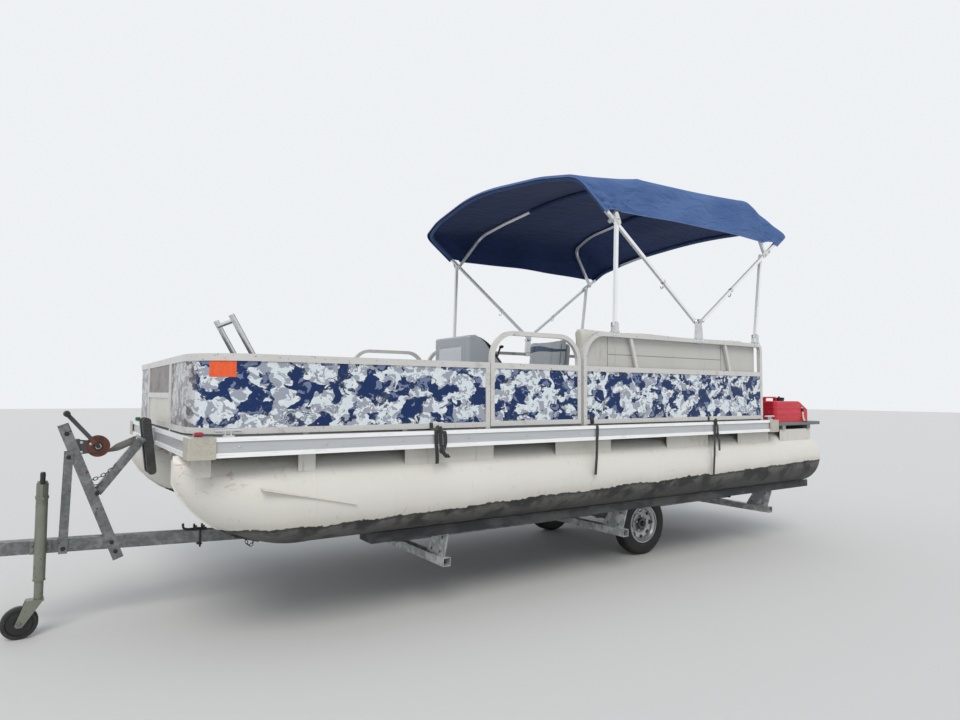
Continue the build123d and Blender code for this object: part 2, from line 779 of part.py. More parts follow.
# Seat bases: the lounge along the port side and across the stern, and a bench each side of the bow
LOUNGE_FRONT = 2690
LOUNGE_STERN = FENCE_STERN - 42
LOUNGE_DEPTH = 600
SHELL_WALL = 60
SHELL_CLEAR = 12
LOUNGE_OUT = FENCE_Y - FENCE_TUBE / 2 - SHELL_CLEAR
LOUNGE_IN = LOUNGE_OUT - LOUNGE_DEPTH
STERN_SEAT_FRONT = LOUNGE_STERN - LOUNGE_DEPTH
SHELL_TOP = 655
SHELL_FRONT_R = 160
SHELL_EDGE_R = 18
SEAT_BASE = 310
TOE_HIGH = 70
TOE_DEEP = 45
BENCH_DEPTH = 480
BENCH_BASE = 255
# front and back station, side
BENCHES = ((860, 1660, 1), (390, 1660, -1))

with BuildPart() as seat_bases:
    block(LOUNGE_FRONT, LOUNGE_STERN, LOUNGE_IN, LOUNGE_OUT, 0, SEAT_BASE)
    block(STERN_SEAT_FRONT, LOUNGE_STERN, -LOUNGE_OUT, LOUNGE_IN, 0, SEAT_BASE)
    with BuildSketch(side_plane(LOUNGE_OUT)) as shell:
        with BuildLine():
            FilletPolyline(
                (x_at(LOUNGE_STERN), z_at(SEAT_BASE)),
                (x_at(LOUNGE_STERN), z_at(SHELL_TOP)),
                (x_at(LOUNGE_FRONT), z_at(SHELL_TOP)),
                (x_at(LOUNGE_FRONT), z_at(SEAT_BASE)),
                radius=(SHELL_EDGE_R, SHELL_FRONT_R),
            )
            Line((x_at(LOUNGE_FRONT), z_at(SEAT_BASE)), (x_at(LOUNGE_STERN), z_at(SEAT_BASE)))
        make_face()
    extrude(shell.sketch, amount=SHELL_WALL)
    block(
        LOUNGE_STERN - SHELL_WALL, LOUNGE_STERN, -LOUNGE_OUT, LOUNGE_OUT, SEAT_BASE, SHELL_TOP - SHELL_EDGE_R
    )
    block(
        LOUNGE_FRONT, STERN_SEAT_FRONT + TOE_DEEP, LOUNGE_IN, LOUNGE_IN + TOE_DEEP, 0, TOE_HIGH,
        mode=Mode.SUBTRACT,
    )
    block(
        STERN_SEAT_FRONT, STERN_SEAT_FRONT + TOE_DEEP, -LOUNGE_OUT, LOUNGE_IN + TOE_DEEP, 0, TOE_HIGH,
        mode=Mode.SUBTRACT,
    )
    for front, back, side in BENCHES:
        bench_in = side * (LOUNGE_OUT - BENCH_DEPTH)
        block(front, back, bench_in, side * LOUNGE_OUT, 0, BENCH_BASE)
        block(front, back, bench_in, bench_in + side * TOE_DEEP, 0, TOE_HIGH, mode=Mode.SUBTRACT)
seat_bases.part.label = "seat_bases"
export_step(seat_bases.part, "parts/seat_bases.step")

# Seat and back cushions of the lounge and the benches
SEAT_PAD = 115
BACK_PAD = 95
PAD_GAP = 4
PAD_EDGE = 5
PAD_TOP = 705
PAD_FRONT_R = 60
PAD_OUT = LOUNGE_OUT - SHELL_WALL - FIT
PAD_STERN = LOUNGE_STERN - SHELL_WALL - FIT
PAD_IN = LOUNGE_IN + PAD_EDGE
PAD_FRONT = LOUNGE_FRONT + PAD_EDGE
PAD_SPLIT = 3390
PAD_MIDDLE = -300
# front and back station and the two edges of each seat pad
SEAT_PADS = (
    (PAD_FRONT, PAD_SPLIT, PAD_IN, PAD_OUT),
    (PAD_SPLIT + PAD_GAP, STERN_SEAT_FRONT - PAD_GAP, PAD_IN, PAD_OUT),
    (STERN_SEAT_FRONT, PAD_STERN, PAD_IN, PAD_OUT),
    (STERN_SEAT_FRONT, PAD_STERN, PAD_MIDDLE, PAD_IN - PAD_GAP),
    (STERN_SEAT_FRONT, PAD_STERN, -LOUNGE_OUT + PAD_EDGE, PAD_MIDDLE - PAD_GAP),
)
BACK_LOW = SEAT_BASE + SEAT_PAD + 3
BENCH_PAD = 90
BENCH_BACK = 80
BENCH_TOP = 415

with BuildPart() as seat_cushions:
    for front, back, y_0, y_1 in SEAT_PADS:
        block(front, back, y_0, y_1, SEAT_BASE + FIT, SEAT_BASE + SEAT_PAD)
    for front, back in ((PAD_FRONT, PAD_SPLIT), (PAD_SPLIT + PAD_GAP, PAD_STERN - BACK_PAD - PAD_GAP)):
        block(front, back, PAD_OUT - BACK_PAD, PAD_OUT, BACK_LOW, PAD_TOP)
    for y_0, y_1 in (
        (-LOUNGE_OUT + PAD_EDGE, PAD_MIDDLE - PAD_GAP),
        (PAD_MIDDLE, PAD_IN - PAD_GAP),
        (PAD_IN, PAD_OUT),
    ):
        block(PAD_STERN - BACK_PAD, PAD_STERN, y_0, y_1, BACK_LOW, PAD_TOP)
    for front, back, side in BENCHES:
        outer = side * (LOUNGE_OUT - PAD_EDGE)
        block(
            front + PAD_EDGE,
            back - PAD_EDGE,
            side * (LOUNGE_OUT - BENCH_DEPTH + PAD_EDGE),
            outer,
            BENCH_BASE + FIT,
            BENCH_BASE + BENCH_PAD,
        )
        block(
            front + PAD_EDGE,
            back - PAD_EDGE,
            outer - side * BENCH_BACK,
            outer,
            BENCH_BASE + BENCH_PAD + FIT,
            BENCH_TOP,
        )
    front_edges = seat_cushions.edges().filter_by(Axis.Y)
    front_edges = front_edges.filter_by_position(Axis.X, x_at(PAD_FRONT) - 1, x_at(PAD_FRONT) + 1)
    fillet(front_edges.sort_by(Axis.Z)[-1:], radius=PAD_FRONT_R)
seat_cushions.part.label = "seat_cushions"
export_step(seat_cushions.part, "parts/seat_cushions.step")

# Portable fuel tank on the port wing: sloping back, moulded waist, cap and carrying handle
TANK_FRONT = DECK_LENGTH + 100
TANK_BACK = TANK_FRONT + 550
TANK_Y = BEAM / 2 - 235
TANK_HALF = 150
TANK_HIGH = 165
TANK_SLOPE = 170
TANK_TAIL = 70
TANK_CORNER_R = 35
TANK_EDGE_R = 14
CAP_AFT = TANK_FRONT + 300
CAP_R = 38
CAP_TALL = 30
HANDLE_FRONT = TANK_FRONT + 60
HANDLE_BACK = TANK_FRONT + 230
HANDLE_RISE = 34

with BuildPart() as fuel_tank:
    side_profile(
        (
            (TANK_FRONT, WING_TOP),
            (TANK_FRONT, TANK_HIGH),
            (TANK_BACK - TANK_SLOPE, TANK_HIGH),
            (TANK_BACK, TANK_TAIL),
            (TANK_BACK, WING_TOP),
        ),
        TANK_Y - TANK_HALF,
        TANK_Y + TANK_HALF,
    )
    fillet(fuel_tank.edges().filter_by(Axis.Z), radius=TANK_CORNER_R)
    fillet(
        fuel_tank.edges().filter_by_position(Axis.Z, z_at(TANK_HIGH) - 1, z_at(TANK_HIGH) + 1),
        radius=TANK_EDGE_R,
    )
    with BuildSketch(level(TANK_HIGH)):
        with Locations((x_at(CAP_AFT), TANK_Y)):
            Circle(CAP_R)
    extrude(amount=CAP_TALL)
    with BuildSketch(side_plane(TANK_Y - 15)) as handle:
        with BuildLine():
            FilletPolyline(
                (x_at(HANDLE_FRONT), z_at(TANK_HIGH - 5)),
                (x_at(HANDLE_FRONT), z_at(TANK_HIGH + HANDLE_RISE)),
                (x_at(HANDLE_BACK), z_at(TANK_HIGH + HANDLE_RISE)),
                (x_at(HANDLE_BACK), z_at(TANK_HIGH - 5)),
                radius=18,
            )
        trace(line_width=14)
    extrude(handle.sketch, amount=-30)
fuel_tank.part.label = "fuel_tank"
export_step(fuel_tank.part, "parts/fuel_tank.step")

# Boarding ladder stowed upright behind the port bow fence
LADDER_Y = BEAM / 2 - 505
LADDER_HALF = 190
LADDER_FOOT = 605
LADDER_LEAN = 0.54
LADDER_HIGH = 650
LADDER_R = 16

with BuildPart() as boarding_ladder:
    for side in (1, -1):
        y = LADDER_Y + side * LADDER_HALF
        rod(
            (x_at(LADDER_FOOT), y, z_at(22)),
            (x_at(LADDER_FOOT - LADDER_LEAN * LADDER_HIGH), y, z_at(LADDER_HIGH)),
            LADDER_R,
        )
        block(LADDER_FOOT - 45, LADDER_FOOT + 45, y - 24, y + 24, 0, 8)
        block(LADDER_FOOT - 22, LADDER_FOOT + 22, y - 20, y + 20, 0, 40)
    for height in (150, 390, 620):
        step = x_at(LADDER_FOOT - LADDER_LEAN * height)
        rod(
            (step, LADDER_Y - LADDER_HALF, z_at(height)),
            (step, LADDER_Y + LADDER_HALF, z_at(height)),
            13,
        )
boarding_ladder.part.label = "boarding_ladder"
export_step(boarding_ladder.part, "parts/boarding_ladder.step")

# Mooring cleats on the deck's edge
# station and side of each cleat
CLEATS = ((190, 1), (190, -1), (DECK_LENGTH - 70, 1), (DECK_LENGTH - 70, -1))

with BuildPart() as cleats:
    for aft, side in CLEATS:
        y = side * (BEAM / 2 - 38)
        block(aft - 28, aft + 28, y - 14, y + 14, 0, 8)
        for step in (-14, 14):
            with Locations((x_at(aft + step), y, z_at(18))):
                Cylinder(6, 24)
        rod((x_at(aft - 65), y, z_at(32)), (x_at(aft + 65), y, z_at(32)), 8)
cleats.part.label = "cleats"
export_step(cleats.part, "parts/cleats.step")

# Sun top: two main bows from one mount a side, an inner bow on each, struts and a canopy
TOP_TUBE = 25
TOP_BASE_AFT = 3915
TOP_BASE = 828
FRONT_ANGLE = 37.3
REAR_ANGLE = 143.5
FRONT_JOINT = 1186
REAR_JOINT = 1170
REAR_STRUT_JOINT = 1100
INNER_1_ANGLE = 127.6
INNER_2_ANGLE = 59.4
PLANE_STEP = TOP_TUBE + 7
FRONT_Y = FENCE_Y - PLANE_STEP
REAR_Y = FENCE_Y + PLANE_STEP
INNER_1_Y = FRONT_Y - PLANE_STEP
INNER_2_Y = FENCE_Y
TOP_PIN_R = 5
TOP_PIN_HOLE = TOP_PIN_R + 0.4
LEG_END = 14
HAUNCH_IN = 330
SHOULDER_R = 130
HAUNCH_R = 1200
CROWN_R = 2400
# half width, shoulder, haunch and crown reach of each bow from its own pivot
FRONT_BOW = (FRONT_Y, 1620, 1717, 1825)
REAR_BOW = (REAR_Y, 1480, 1715, 1856)
INNER_1_BOW = (INNER_1_Y, 435, 520, 622)
INNER_2_BOW = (INNER_2_Y, 468, 575, 655)


def leg_point(x, z, angle, reach):
    """The (x, z) of a place on a leg, at a reach from its pivot."""
    return x + reach * cos(radians(angle)), z + reach * sin(radians(angle))


def fold_plane(x, z, angle):
    """The tilted plane of a bow: local x to starboard, local y out along its legs."""
    out = Vector(cos(radians(angle)), 0, sin(radians(angle)))
    across = Vector(0, -1, 0)
    return Plane(origin=(x, 0, z), x_dir=across, z_dir=across.cross(out))


def arch(half_width, shoulder, haunch, crown, foot, haunch_in, rise):
    """The line of an arch in its plane, from one foot over the crown to the other."""
    FilletPolyline(
        (-half_width, foot),
        (-half_width, shoulder + rise),
        (-half_width + haunch_in, haunch + rise),
        (0, crown + rise),
        (half_width - haunch_in, haunch + rise),
        (half_width, shoulder + rise),
        (half_width, foot),
        radius=(SHOULDER_R, HAUNCH_R, CROWN_R, HAUNCH_R, SHOULDER_R),
    )


def cross_pin(x, z, y_0, y_1, radius, mode=Mode.ADD):
    """A pin or hole along Y between two widths."""
    rod((x, y_0, z), (x, y_1, z), radius, mode=mode)


def bow_tube(x, z, angle, shape):
    """A square tube bow that turns on a pin at (x, z): two legs and an arched roof."""
    half_width, shoulder, haunch, crown = shape
    with BuildSketch(fold_plane(x, z, angle)) as frame:
        with BuildLine():
            arch(half_width, shoulder, haunch, crown, -LEG_END, HAUNCH_IN, 0)
        trace(line_width=TOP_TUBE)
    extrude(frame.sketch, amount=TOP_TUBE / 2, both=True)
    for side in (1, -1):
        y = side * half_width
        cross_pin(x, z, y - 20, y + 20, TOP_PIN_HOLE, mode=Mode.SUBTRACT)


def strut(foot, head, y):
    """A square strut in the plane y, with a pin hole near its head."""
    start = Vector(foot[0], y, foot[1])
    end = Vector(head[0], y, head[1])
    along = (end - start).normalized()
    with BuildSketch(Plane(origin=start - along * LEG_END, x_dir=(0, 1, 0), z_dir=along)) as bar:
        Rectangle(TOP_TUBE, TOP_TUBE)
    extrude(bar.sketch, amount=(end - start).length + 2 * LEG_END)
    cross_pin(head[0], head[1], y - 20, y + 20, TOP_PIN_HOLE, mode=Mode.SUBTRACT)


BASE_X = x_at(TOP_BASE_AFT)
BASE_Z = z_at(TOP_BASE)
J1 = leg_point(BASE_X, BASE_Z, FRONT_ANGLE, FRONT_JOINT)
J2 = leg_point(BASE_X, BASE_Z, REAR_ANGLE, REAR_JOINT)
J2_STRUT = leg_point(BASE_X, BASE_Z, REAR_ANGLE, REAR_STRUT_JOINT)
RAIL_TOP = UPPER_RAIL + UPPER_R
FORK_FLOOR = RAIL_TOP + 14
FORK_TOP = RAIL_TOP + 82
FORK_HALF = 20
FORK_GAP = TOP_TUBE / 2 + 5.5
FORK_CHEEK = 5
STRUT_EYE = RAIL_TOP + 66
POST_LONG = 26
POST_THICK = 14
FRONT_FOOT = (x_at(2946), z_at(STRUT_EYE))
REAR_FOOT = (x_at(4696), z_at(STRUT_EYE))

with BuildPart() as sun_top_mounts:
    for side in (1, -1):
        y = side * FENCE_Y
        side_profile(
            (
                (TOP_BASE_AFT - POST_LONG - 14, RAIL_TOP),
                (TOP_BASE_AFT - POST_LONG, TOP_BASE),
                (TOP_BASE_AFT - POST_LONG + 12, TOP_BASE + 18),
                (TOP_BASE_AFT + POST_LONG - 12, TOP_BASE + 18),
                (TOP_BASE_AFT + POST_LONG, TOP_BASE),
                (TOP_BASE_AFT + POST_LONG + 14, RAIL_TOP),
            ),
            y - POST_THICK,
            y + POST_THICK,
        )
        cross_pin(BASE_X, BASE_Z, y - PLANE_STEP - 16, y + PLANE_STEP + 16, TOP_PIN_R)
        for foot_x, _ in (FRONT_FOOT, REAR_FOOT):
            aft = BOW - foot_x
            base_half = FORK_GAP + FORK_CHEEK
            block(aft - 30, aft + 30, y - base_half, y + base_half, RAIL_TOP, FORK_FLOOR)
            for way in (1, -1):
                side_profile(
                    (
                        (aft - FORK_HALF, FORK_FLOOR),
                        (aft - FORK_HALF, FORK_TOP - 12),
                        (aft - FORK_HALF + 10, FORK_TOP),
                        (aft + FORK_HALF - 10, FORK_TOP),
                        (aft + FORK_HALF, FORK_TOP - 12),
                        (aft + FORK_HALF, FORK_FLOOR),
                    ),
                    y + way * FORK_GAP,
                    y + way * (FORK_GAP + FORK_CHEEK),
                )
sun_top_mounts.part.label = "sun_top_mounts"
export_step(sun_top_mounts.part, "parts/sun_top_mounts.step")

with BuildPart() as rear_main_bow:
    bow_tube(BASE_X, BASE_Z, REAR_ANGLE, REAR_BOW)
    for side in (1, -1):
        for pin_x, pin_z in (J2, J2_STRUT):
            y = side * REAR_Y
            cross_pin(pin_x, pin_z, y, side * (FENCE_Y - TOP_TUBE / 2 - 3), TOP_PIN_R)
rear_main_bow.part.label = "rear_main_bow"
export_step(rear_main_bow.part, "parts/rear_main_bow.step")

with BuildPart() as rear_struts:
    for side in (1, -1):
        strut(REAR_FOOT, J2_STRUT, side * FENCE_Y)
rear_struts.part.label = "rear_struts"
export_step(rear_struts.part, "parts/rear_struts.step")

with BuildPart() as rear_inner_bow:
    bow_tube(J2[0], J2[1], INNER_2_ANGLE, INNER_2_BOW)
rear_inner_bow.part.label = "rear_inner_bow"
export_step(rear_inner_bow.part, "parts/rear_inner_bow.step")

with BuildPart() as front_main_bow:
    bow_tube(BASE_X, BASE_Z, FRONT_ANGLE, FRONT_BOW)
    for side in (1, -1):
        y = side * FRONT_Y
        cross_pin(J1[0], J1[1], y - PLANE_STEP - 15, y + PLANE_STEP + 15, TOP_PIN_R)
front_main_bow.part.label = "front_main_bow"
export_step(front_main_bow.part, "parts/front_main_bow.step")

with BuildPart() as front_struts:
    for side in (1, -1):
        strut(FRONT_FOOT, J1, side * FENCE_Y)
front_struts.part.label = "front_struts"
export_step(front_struts.part, "parts/front_struts.step")

with BuildPart() as front_inner_bow:
    bow_tube(J1[0], J1[1], INNER_1_ANGLE, INNER_1_BOW)
front_inner_bow.part.label = "front_inner_bow"
export_step(front_inner_bow.part, "parts/front_inner_bow.step")

# Canopy: one curved sheet stretched over the four bows, with a straight skirt each side
CLOTH = 3
CLOTH_RISE = TOP_TUBE + 3
CLOTH_FRONT = FRONT_Y + TOP_TUBE - 4.5
CLOTH_REAR = REAR_Y + TOP_TUBE - 4.5
HEM_HEIGHT = 1605
EDGE_LAP = 24
# pivot, leg angle and shape of each bow, how far the cloth laps past it, and the cloth's half width
CANOPY_BOWS = (
    ((BASE_X, BASE_Z), FRONT_ANGLE, FRONT_BOW, -EDGE_LAP, CLOTH_FRONT),
    ((BASE_X, BASE_Z), FRONT_ANGLE, FRONT_BOW, 0, CLOTH_FRONT),
    (J1, INNER_1_ANGLE, INNER_1_BOW, 0, CLOTH_FRONT + 0.3 * (CLOTH_REAR - CLOTH_FRONT)),
    (J2, INNER_2_ANGLE, INNER_2_BOW, 0, CLOTH_FRONT + 0.7 * (CLOTH_REAR - CLOTH_FRONT)),
    ((BASE_X, BASE_Z), REAR_ANGLE, REAR_BOW, 0, CLOTH_REAR),
    ((BASE_X, BASE_Z), REAR_ANGLE, REAR_BOW, EDGE_LAP, CLOTH_REAR),
)

with BuildPart() as sun_top_canopy:
    for pivot, angle, shape, lap, cloth_half in CANOPY_BOWS:
        half_width, shoulder, haunch, crown = shape
        hem = (z_at(HEM_HEIGHT) - pivot[1]) / sin(radians(angle))
        haunch_in = HAUNCH_IN + cloth_half - half_width
        with BuildSketch(fold_plane(pivot[0], pivot[1], angle).offset(lap)):
            with BuildLine():
                arch(cloth_half, shoulder, haunch, crown, hem, haunch_in, CLOTH_RISE)
            trace(line_width=CLOTH)
    loft(ruled=True)
sun_top_canopy.part.label = "sun_top_canopy"
export_step(sun_top_canopy.part, "parts/sun_top_canopy.step")

# Outboard: clamp on the transom, tilting swivel bracket, steering leg, cowl and propeller
TILT_AFT = TRANSOM_AFT + 30
TILT_HEIGHT = -50
TILT_PIN_R = 10
TILT_TUBE_R = 22
TILT_HALF = 68
CLAMP_IN = 75
CLAMP_OUT = 95
STEER_AFT = TRANSOM_AFT + 85
PROP_HEIGHT = -770
PLATE_HEIGHT = -605
PROP_R = 135
COWL_LOW = 55
COWL_WAIST = 265
COWL_TOP = 400
COWL_FRONT = STEER_AFT - 110

with BuildPart() as outboard_clamp:
    for side in (1, -1):
        side_profile(
            (
                (TRANSOM_AFT - TRANSOM_THICK - 18, TRANSOM_TOP - 75),
                (TRANSOM_AFT - TRANSOM_THICK - 0.5, TRANSOM_TOP - 75),
                (TRANSOM_AFT - TRANSOM_THICK - 0.5, TRANSOM_TOP + 0.5),
                (TRANSOM_AFT + 0.5, TRANSOM_TOP + 0.5),
                (TRANSOM_AFT + 0.5, TRANSOM_TOP - 270),
                (TRANSOM_AFT + 22, TRANSOM_TOP - 270),
                (TILT_AFT + 18, TILT_HEIGHT),
                (TILT_AFT, TILT_HEIGHT + 20),
                (TRANSOM_AFT - TRANSOM_THICK - 18, TRANSOM_TOP + 30),
            ),
            side * CLAMP_IN,
            side * CLAMP_OUT,
        )
    rod(
        (x_at(TILT_AFT), -CLAMP_OUT, z_at(TILT_HEIGHT)),
        (x_at(TILT_AFT), CLAMP_OUT, z_at(TILT_HEIGHT)),
        TILT_PIN_R,
    )
outboard_clamp.part.label = "outboard_clamp"
export_step(outboard_clamp.part, "parts/outboard_clamp.step")

STEER_TUBE_R = 28
STEER_TUBE_HALF = 160
STEER_TUBE_DROP = 130
STEER_PIN_R = 14
PIN_PLAY = 0.4
STEER_MIDDLE = TILT_HEIGHT - STEER_TUBE_DROP
STEER_TUBE_TOP = STEER_MIDDLE + STEER_TUBE_HALF
STEER_TUBE_LOW = STEER_MIDDLE - STEER_TUBE_HALF

with BuildPart() as outboard_swivel:
    rod(
        (x_at(TILT_AFT), -TILT_HALF, z_at(TILT_HEIGHT)),
        (x_at(TILT_AFT), TILT_HALF, z_at(TILT_HEIGHT)),
        TILT_TUBE_R,
    )
    block(TILT_AFT, STEER_AFT, -30, 30, TILT_HEIGHT - 20, TILT_HEIGHT + 20)
    with BuildSketch(level(STEER_TUBE_LOW)):
        with Locations((x_at(STEER_AFT), 0)):
            Circle(STEER_TUBE_R)
    extrude(amount=2 * STEER_TUBE_HALF)
    rod(
        (x_at(TILT_AFT), -TILT_HALF - 1, z_at(TILT_HEIGHT)),
        (x_at(TILT_AFT), TILT_HALF + 1, z_at(TILT_HEIGHT)),
        TILT_PIN_R + PIN_PLAY,
        mode=Mode.SUBTRACT,
    )
    with BuildSketch(level(STEER_TUBE_LOW - 1)):
        with Locations((x_at(STEER_AFT), 0)):
            Circle(STEER_PIN_R + PIN_PLAY)
    extrude(amount=2 * STEER_TUBE_HALF + 2, mode=Mode.SUBTRACT)
outboard_swivel.part.label = "outboard_swivel"
export_step(outboard_swivel.part, "parts/outboard_swivel.step")

# The leg's sections: a rounded mid section, a foil below the plate, a round gearcase and a skeg
LEG_FRONT = STEER_AFT + 38
LEG_BACK = STEER_AFT + 175
LEG_MIDDLE = (LEG_FRONT + LEG_BACK) / 2
LEG_LENGTH = LEG_BACK - LEG_FRONT
LEG_HALF = 42
YOKE_TALL = 29
YOKE_GAP = 1
PLATE_THICK = 8
PLATE_HALF = 85
PLATE_FRONT = STEER_AFT - 40
PLATE_BACK = LEG_BACK + 90
GEAR_R = 42
GEAR_FRONT = STEER_AFT - 30
GEAR_BACK = LEG_BACK + 40
GEAR_NOSE = 90
PROP_SHAFT_R = 9
PROP_AFT = GEAR_BACK + 3
PROP_LONG = 80
SKEG_DROP = 125

with BuildPart() as outboard_leg:
    with BuildSketch(level(STEER_TUBE_LOW - YOKE_TALL)):
        with Locations((x_at(STEER_AFT), 0)):
            Circle(STEER_PIN_R)
    extrude(amount=2 * STEER_TUBE_HALF + 2 * YOKE_TALL)
    for low in (STEER_TUBE_TOP + YOKE_GAP, STEER_TUBE_LOW - YOKE_GAP - YOKE_TALL):
        block(STEER_AFT - 25, LEG_FRONT + 20, -LEG_HALF + 4, LEG_HALF - 4, low, low + YOKE_TALL)
    with BuildSketch(level(PLATE_HEIGHT)):
        with Locations((x_at(LEG_MIDDLE), 0)):
            RectangleRounded(LEG_LENGTH, 2 * LEG_HALF - 16, 26)
    with BuildSketch(level(COWL_LOW - FIT)):
        with Locations((x_at(LEG_MIDDLE), 0)):
            RectangleRounded(LEG_LENGTH, 2 * LEG_HALF, 34)
    loft()
    with BuildSketch(level(PLATE_HEIGHT - PLATE_THICK)):
        with Locations((x_at((PLATE_FRONT + PLATE_BACK) / 2), 0)):
            RectangleRounded(PLATE_BACK - PLATE_FRONT, 2 * PLATE_HALF, 60)
    extrude(amount=PLATE_THICK)
    with BuildSketch(level(PROP_HEIGHT)):
        with Locations((x_at(LEG_MIDDLE), 0)):
            Ellipse(LEG_LENGTH / 2 + 4, 17)
    extrude(amount=PLATE_HEIGHT - PROP_HEIGHT)
    with BuildSketch(side_plane(0)) as gearcase:
        with BuildLine():
            Line((x_at(GEAR_BACK), z_at(PROP_HEIGHT)), (x_at(GEAR_FRONT), z_at(PROP_HEIGHT)))
            ThreePointArc(
                (x_at(GEAR_FRONT), z_at(PROP_HEIGHT)),
                (x_at(GEAR_FRONT + GEAR_NOSE / 4), z_at(PROP_HEIGHT + 0.62 * GEAR_R)),
                (x_at(GEAR_FRONT + GEAR_NOSE), z_at(PROP_HEIGHT + GEAR_R)),
            )
            Polyline(
                (x_at(GEAR_FRONT + GEAR_NOSE), z_at(PROP_HEIGHT + GEAR_R)),
                (x_at(GEAR_BACK - 60), z_at(PROP_HEIGHT + GEAR_R)),
                (x_at(GEAR_BACK), z_at(PROP_HEIGHT + GEAR_R - 8)),
                (x_at(GEAR_BACK), z_at(PROP_HEIGHT)),
            )
        make_face()
    revolve(gearcase.sketch, axis=Axis((0, 0, z_at(PROP_HEIGHT)), (1, 0, 0)))
    side_profile(
        (
            (LEG_FRONT, PROP_HEIGHT),
            (LEG_FRONT + 50, PROP_HEIGHT - SKEG_DROP + 8),
            (LEG_FRONT + 75, PROP_HEIGHT - SKEG_DROP),
            (LEG_BACK - 20, PROP_HEIGHT - SKEG_DROP),
            (LEG_BACK + 5, PROP_HEIGHT),
        ),
        -5,
        5,
    )
    rod(
        (x_at(GEAR_BACK - 5), 0, z_at(PROP_HEIGHT)),
        (x_at(PROP_AFT + PROP_LONG + 7), 0, z_at(PROP_HEIGHT)),
        PROP_SHAFT_R,
    )
outboard_leg.part.label = "outboard_leg"
export_step(outboard_leg.part, "parts/outboard_leg.step")

COWL_LENGTH = STERN_REACH - COWL_FRONT
COWL_HALF = 170
COWL_MIDDLE = (COWL_FRONT + STERN_REACH) / 2

with BuildPart() as outboard_cowl:
    with BuildSketch(level(COWL_LOW)):
        with Locations((x_at(COWL_MIDDLE - 10), 0)):
            RectangleRounded(COWL_LENGTH - 60, 2 * COWL_HALF - 40, 90)
    with BuildSketch(level(COWL_LOW + 60)):
        with Locations((x_at(COWL_MIDDLE), 0)):
            RectangleRounded(COWL_LENGTH, 2 * COWL_HALF, 110)
    with BuildSketch(level(COWL_WAIST)):
        with Locations((x_at(COWL_MIDDLE), 0)):
            RectangleRounded(COWL_LENGTH - 6, 2 * COWL_HALF - 6, 110)
    with BuildSketch(level(COWL_TOP)):
        with Locations((x_at(COWL_MIDDLE - 20), 0)):
            RectangleRounded(COWL_LENGTH - 130, 2 * COWL_HALF - 100, 90)
    loft(ruled=True)
    fillet(outboard_cowl.faces().sort_by(Axis.Z)[-1].edges(), radius=30)
outboard_cowl.part.label = "outboard_cowl"
export_step(outboard_cowl.part, "parts/outboard_cowl.step")

PROP_HUB_R = 34
BLADE_PITCH = 25
BLADE_THICK = 6

with BuildPart() as propeller:
    rod(
        (x_at(PROP_AFT), 0, z_at(PROP_HEIGHT)),
        (x_at(PROP_AFT + PROP_LONG), 0, z_at(PROP_HEIGHT)),
        PROP_HUB_R,
    )
    for turn in (90, 210, 330):
        blade = Plane(
            origin=(x_at(PROP_AFT + PROP_LONG / 2), 0, z_at(PROP_HEIGHT)),
            x_dir=(0, cos(radians(turn)), sin(radians(turn))),
            z_dir=(0, -sin(radians(turn)), cos(radians(turn))),
        )
        with BuildSketch(blade.rotated((BLADE_PITCH, 0, 0))):
            with Locations((PROP_R * 0.58, 0)):
                Ellipse(PROP_R * 0.42, 42)
        extrude(amount=BLADE_THICK / 2, both=True)
    rod(
        (x_at(PROP_AFT - 1), 0, z_at(PROP_HEIGHT)),
        (x_at(PROP_AFT + PROP_LONG + 1), 0, z_at(PROP_HEIGHT)),
        PROP_SHAFT_R + PIN_PLAY,
        mode=Mode.SUBTRACT,
    )
propeller.part.label = "propeller"
export_step(propeller.part, "parts/propeller.step")

# Trailer: a sloping tongue with its header, two side rails, three cross beams and bunk brackets
GROUND = -DECK_TOP
TYRE_R = 262
AXLE_HEIGHT = GROUND + TYRE_R
SPRING_ROOM = 78
FRAME_TUBE = 75
CROSS_TUBE = 55
CROSS_TOP = AXLE_HEIGHT + SPRING_ROOM
RAIL_Y = 420
RAIL_HALF = 25
RAIL_FRONT = 1500
RAIL_BACK = DECK_LENGTH + 340
CROSS_STATIONS = (1580, 3190, RAIL_BACK - 150)
CROSS_HALF = TUBE_Y + 70
CROSS_WALL = 4
CROSS_HOLLOW = 180
BUNK_HALF = 85
BUNK_TOP = TUBE_Z - TUBE_R + 10
BUNK_LOW = BUNK_TOP - 63
BUNK_FRONT = 1050
BUNK_BACK = TUBE_STERN + 70
TONGUE_HIGH = -625
TONGUE_NOSE = -TONGUE_REACH + 180
TONGUE_END = 1900
HEADER_THICK = 50
BRACKET_THICK = 8
BRACKET_IN = TUBE_Y - 180
BRACKET_OUT = TUBE_Y + 40

with BuildPart() as trailer_tongue:
    side_profile(
        (
            (TONGUE_NOSE, TONGUE_HIGH),
            (TONGUE_END, CROSS_TOP + FRAME_TUBE),
            (TONGUE_END, CROSS_TOP),
            (TONGUE_NOSE, TONGUE_HIGH - FRAME_TUBE),
        ),
        -FRAME_TUBE / 2,
        FRAME_TUBE / 2,
    )
    block(
        TONGUE_END - HEADER_THICK,
        TONGUE_END,
        -RAIL_Y + RAIL_HALF,
        RAIL_Y - RAIL_HALF,
        CROSS_TOP,
        CROSS_TOP + FRAME_TUBE,
    )
trailer_tongue.part.label = "trailer_tongue"
export_step(trailer_tongue.part, "parts/trailer_tongue.step")

with BuildPart() as trailer_rails:
    for side in (1, -1):
        y = side * RAIL_Y
        block(RAIL_FRONT, RAIL_BACK, y - RAIL_HALF, y + RAIL_HALF, CROSS_TOP, CROSS_TOP + FRAME_TUBE)
trailer_rails.part.label = "trailer_rails"
export_step(trailer_rails.part, "parts/trailer_rails.step")

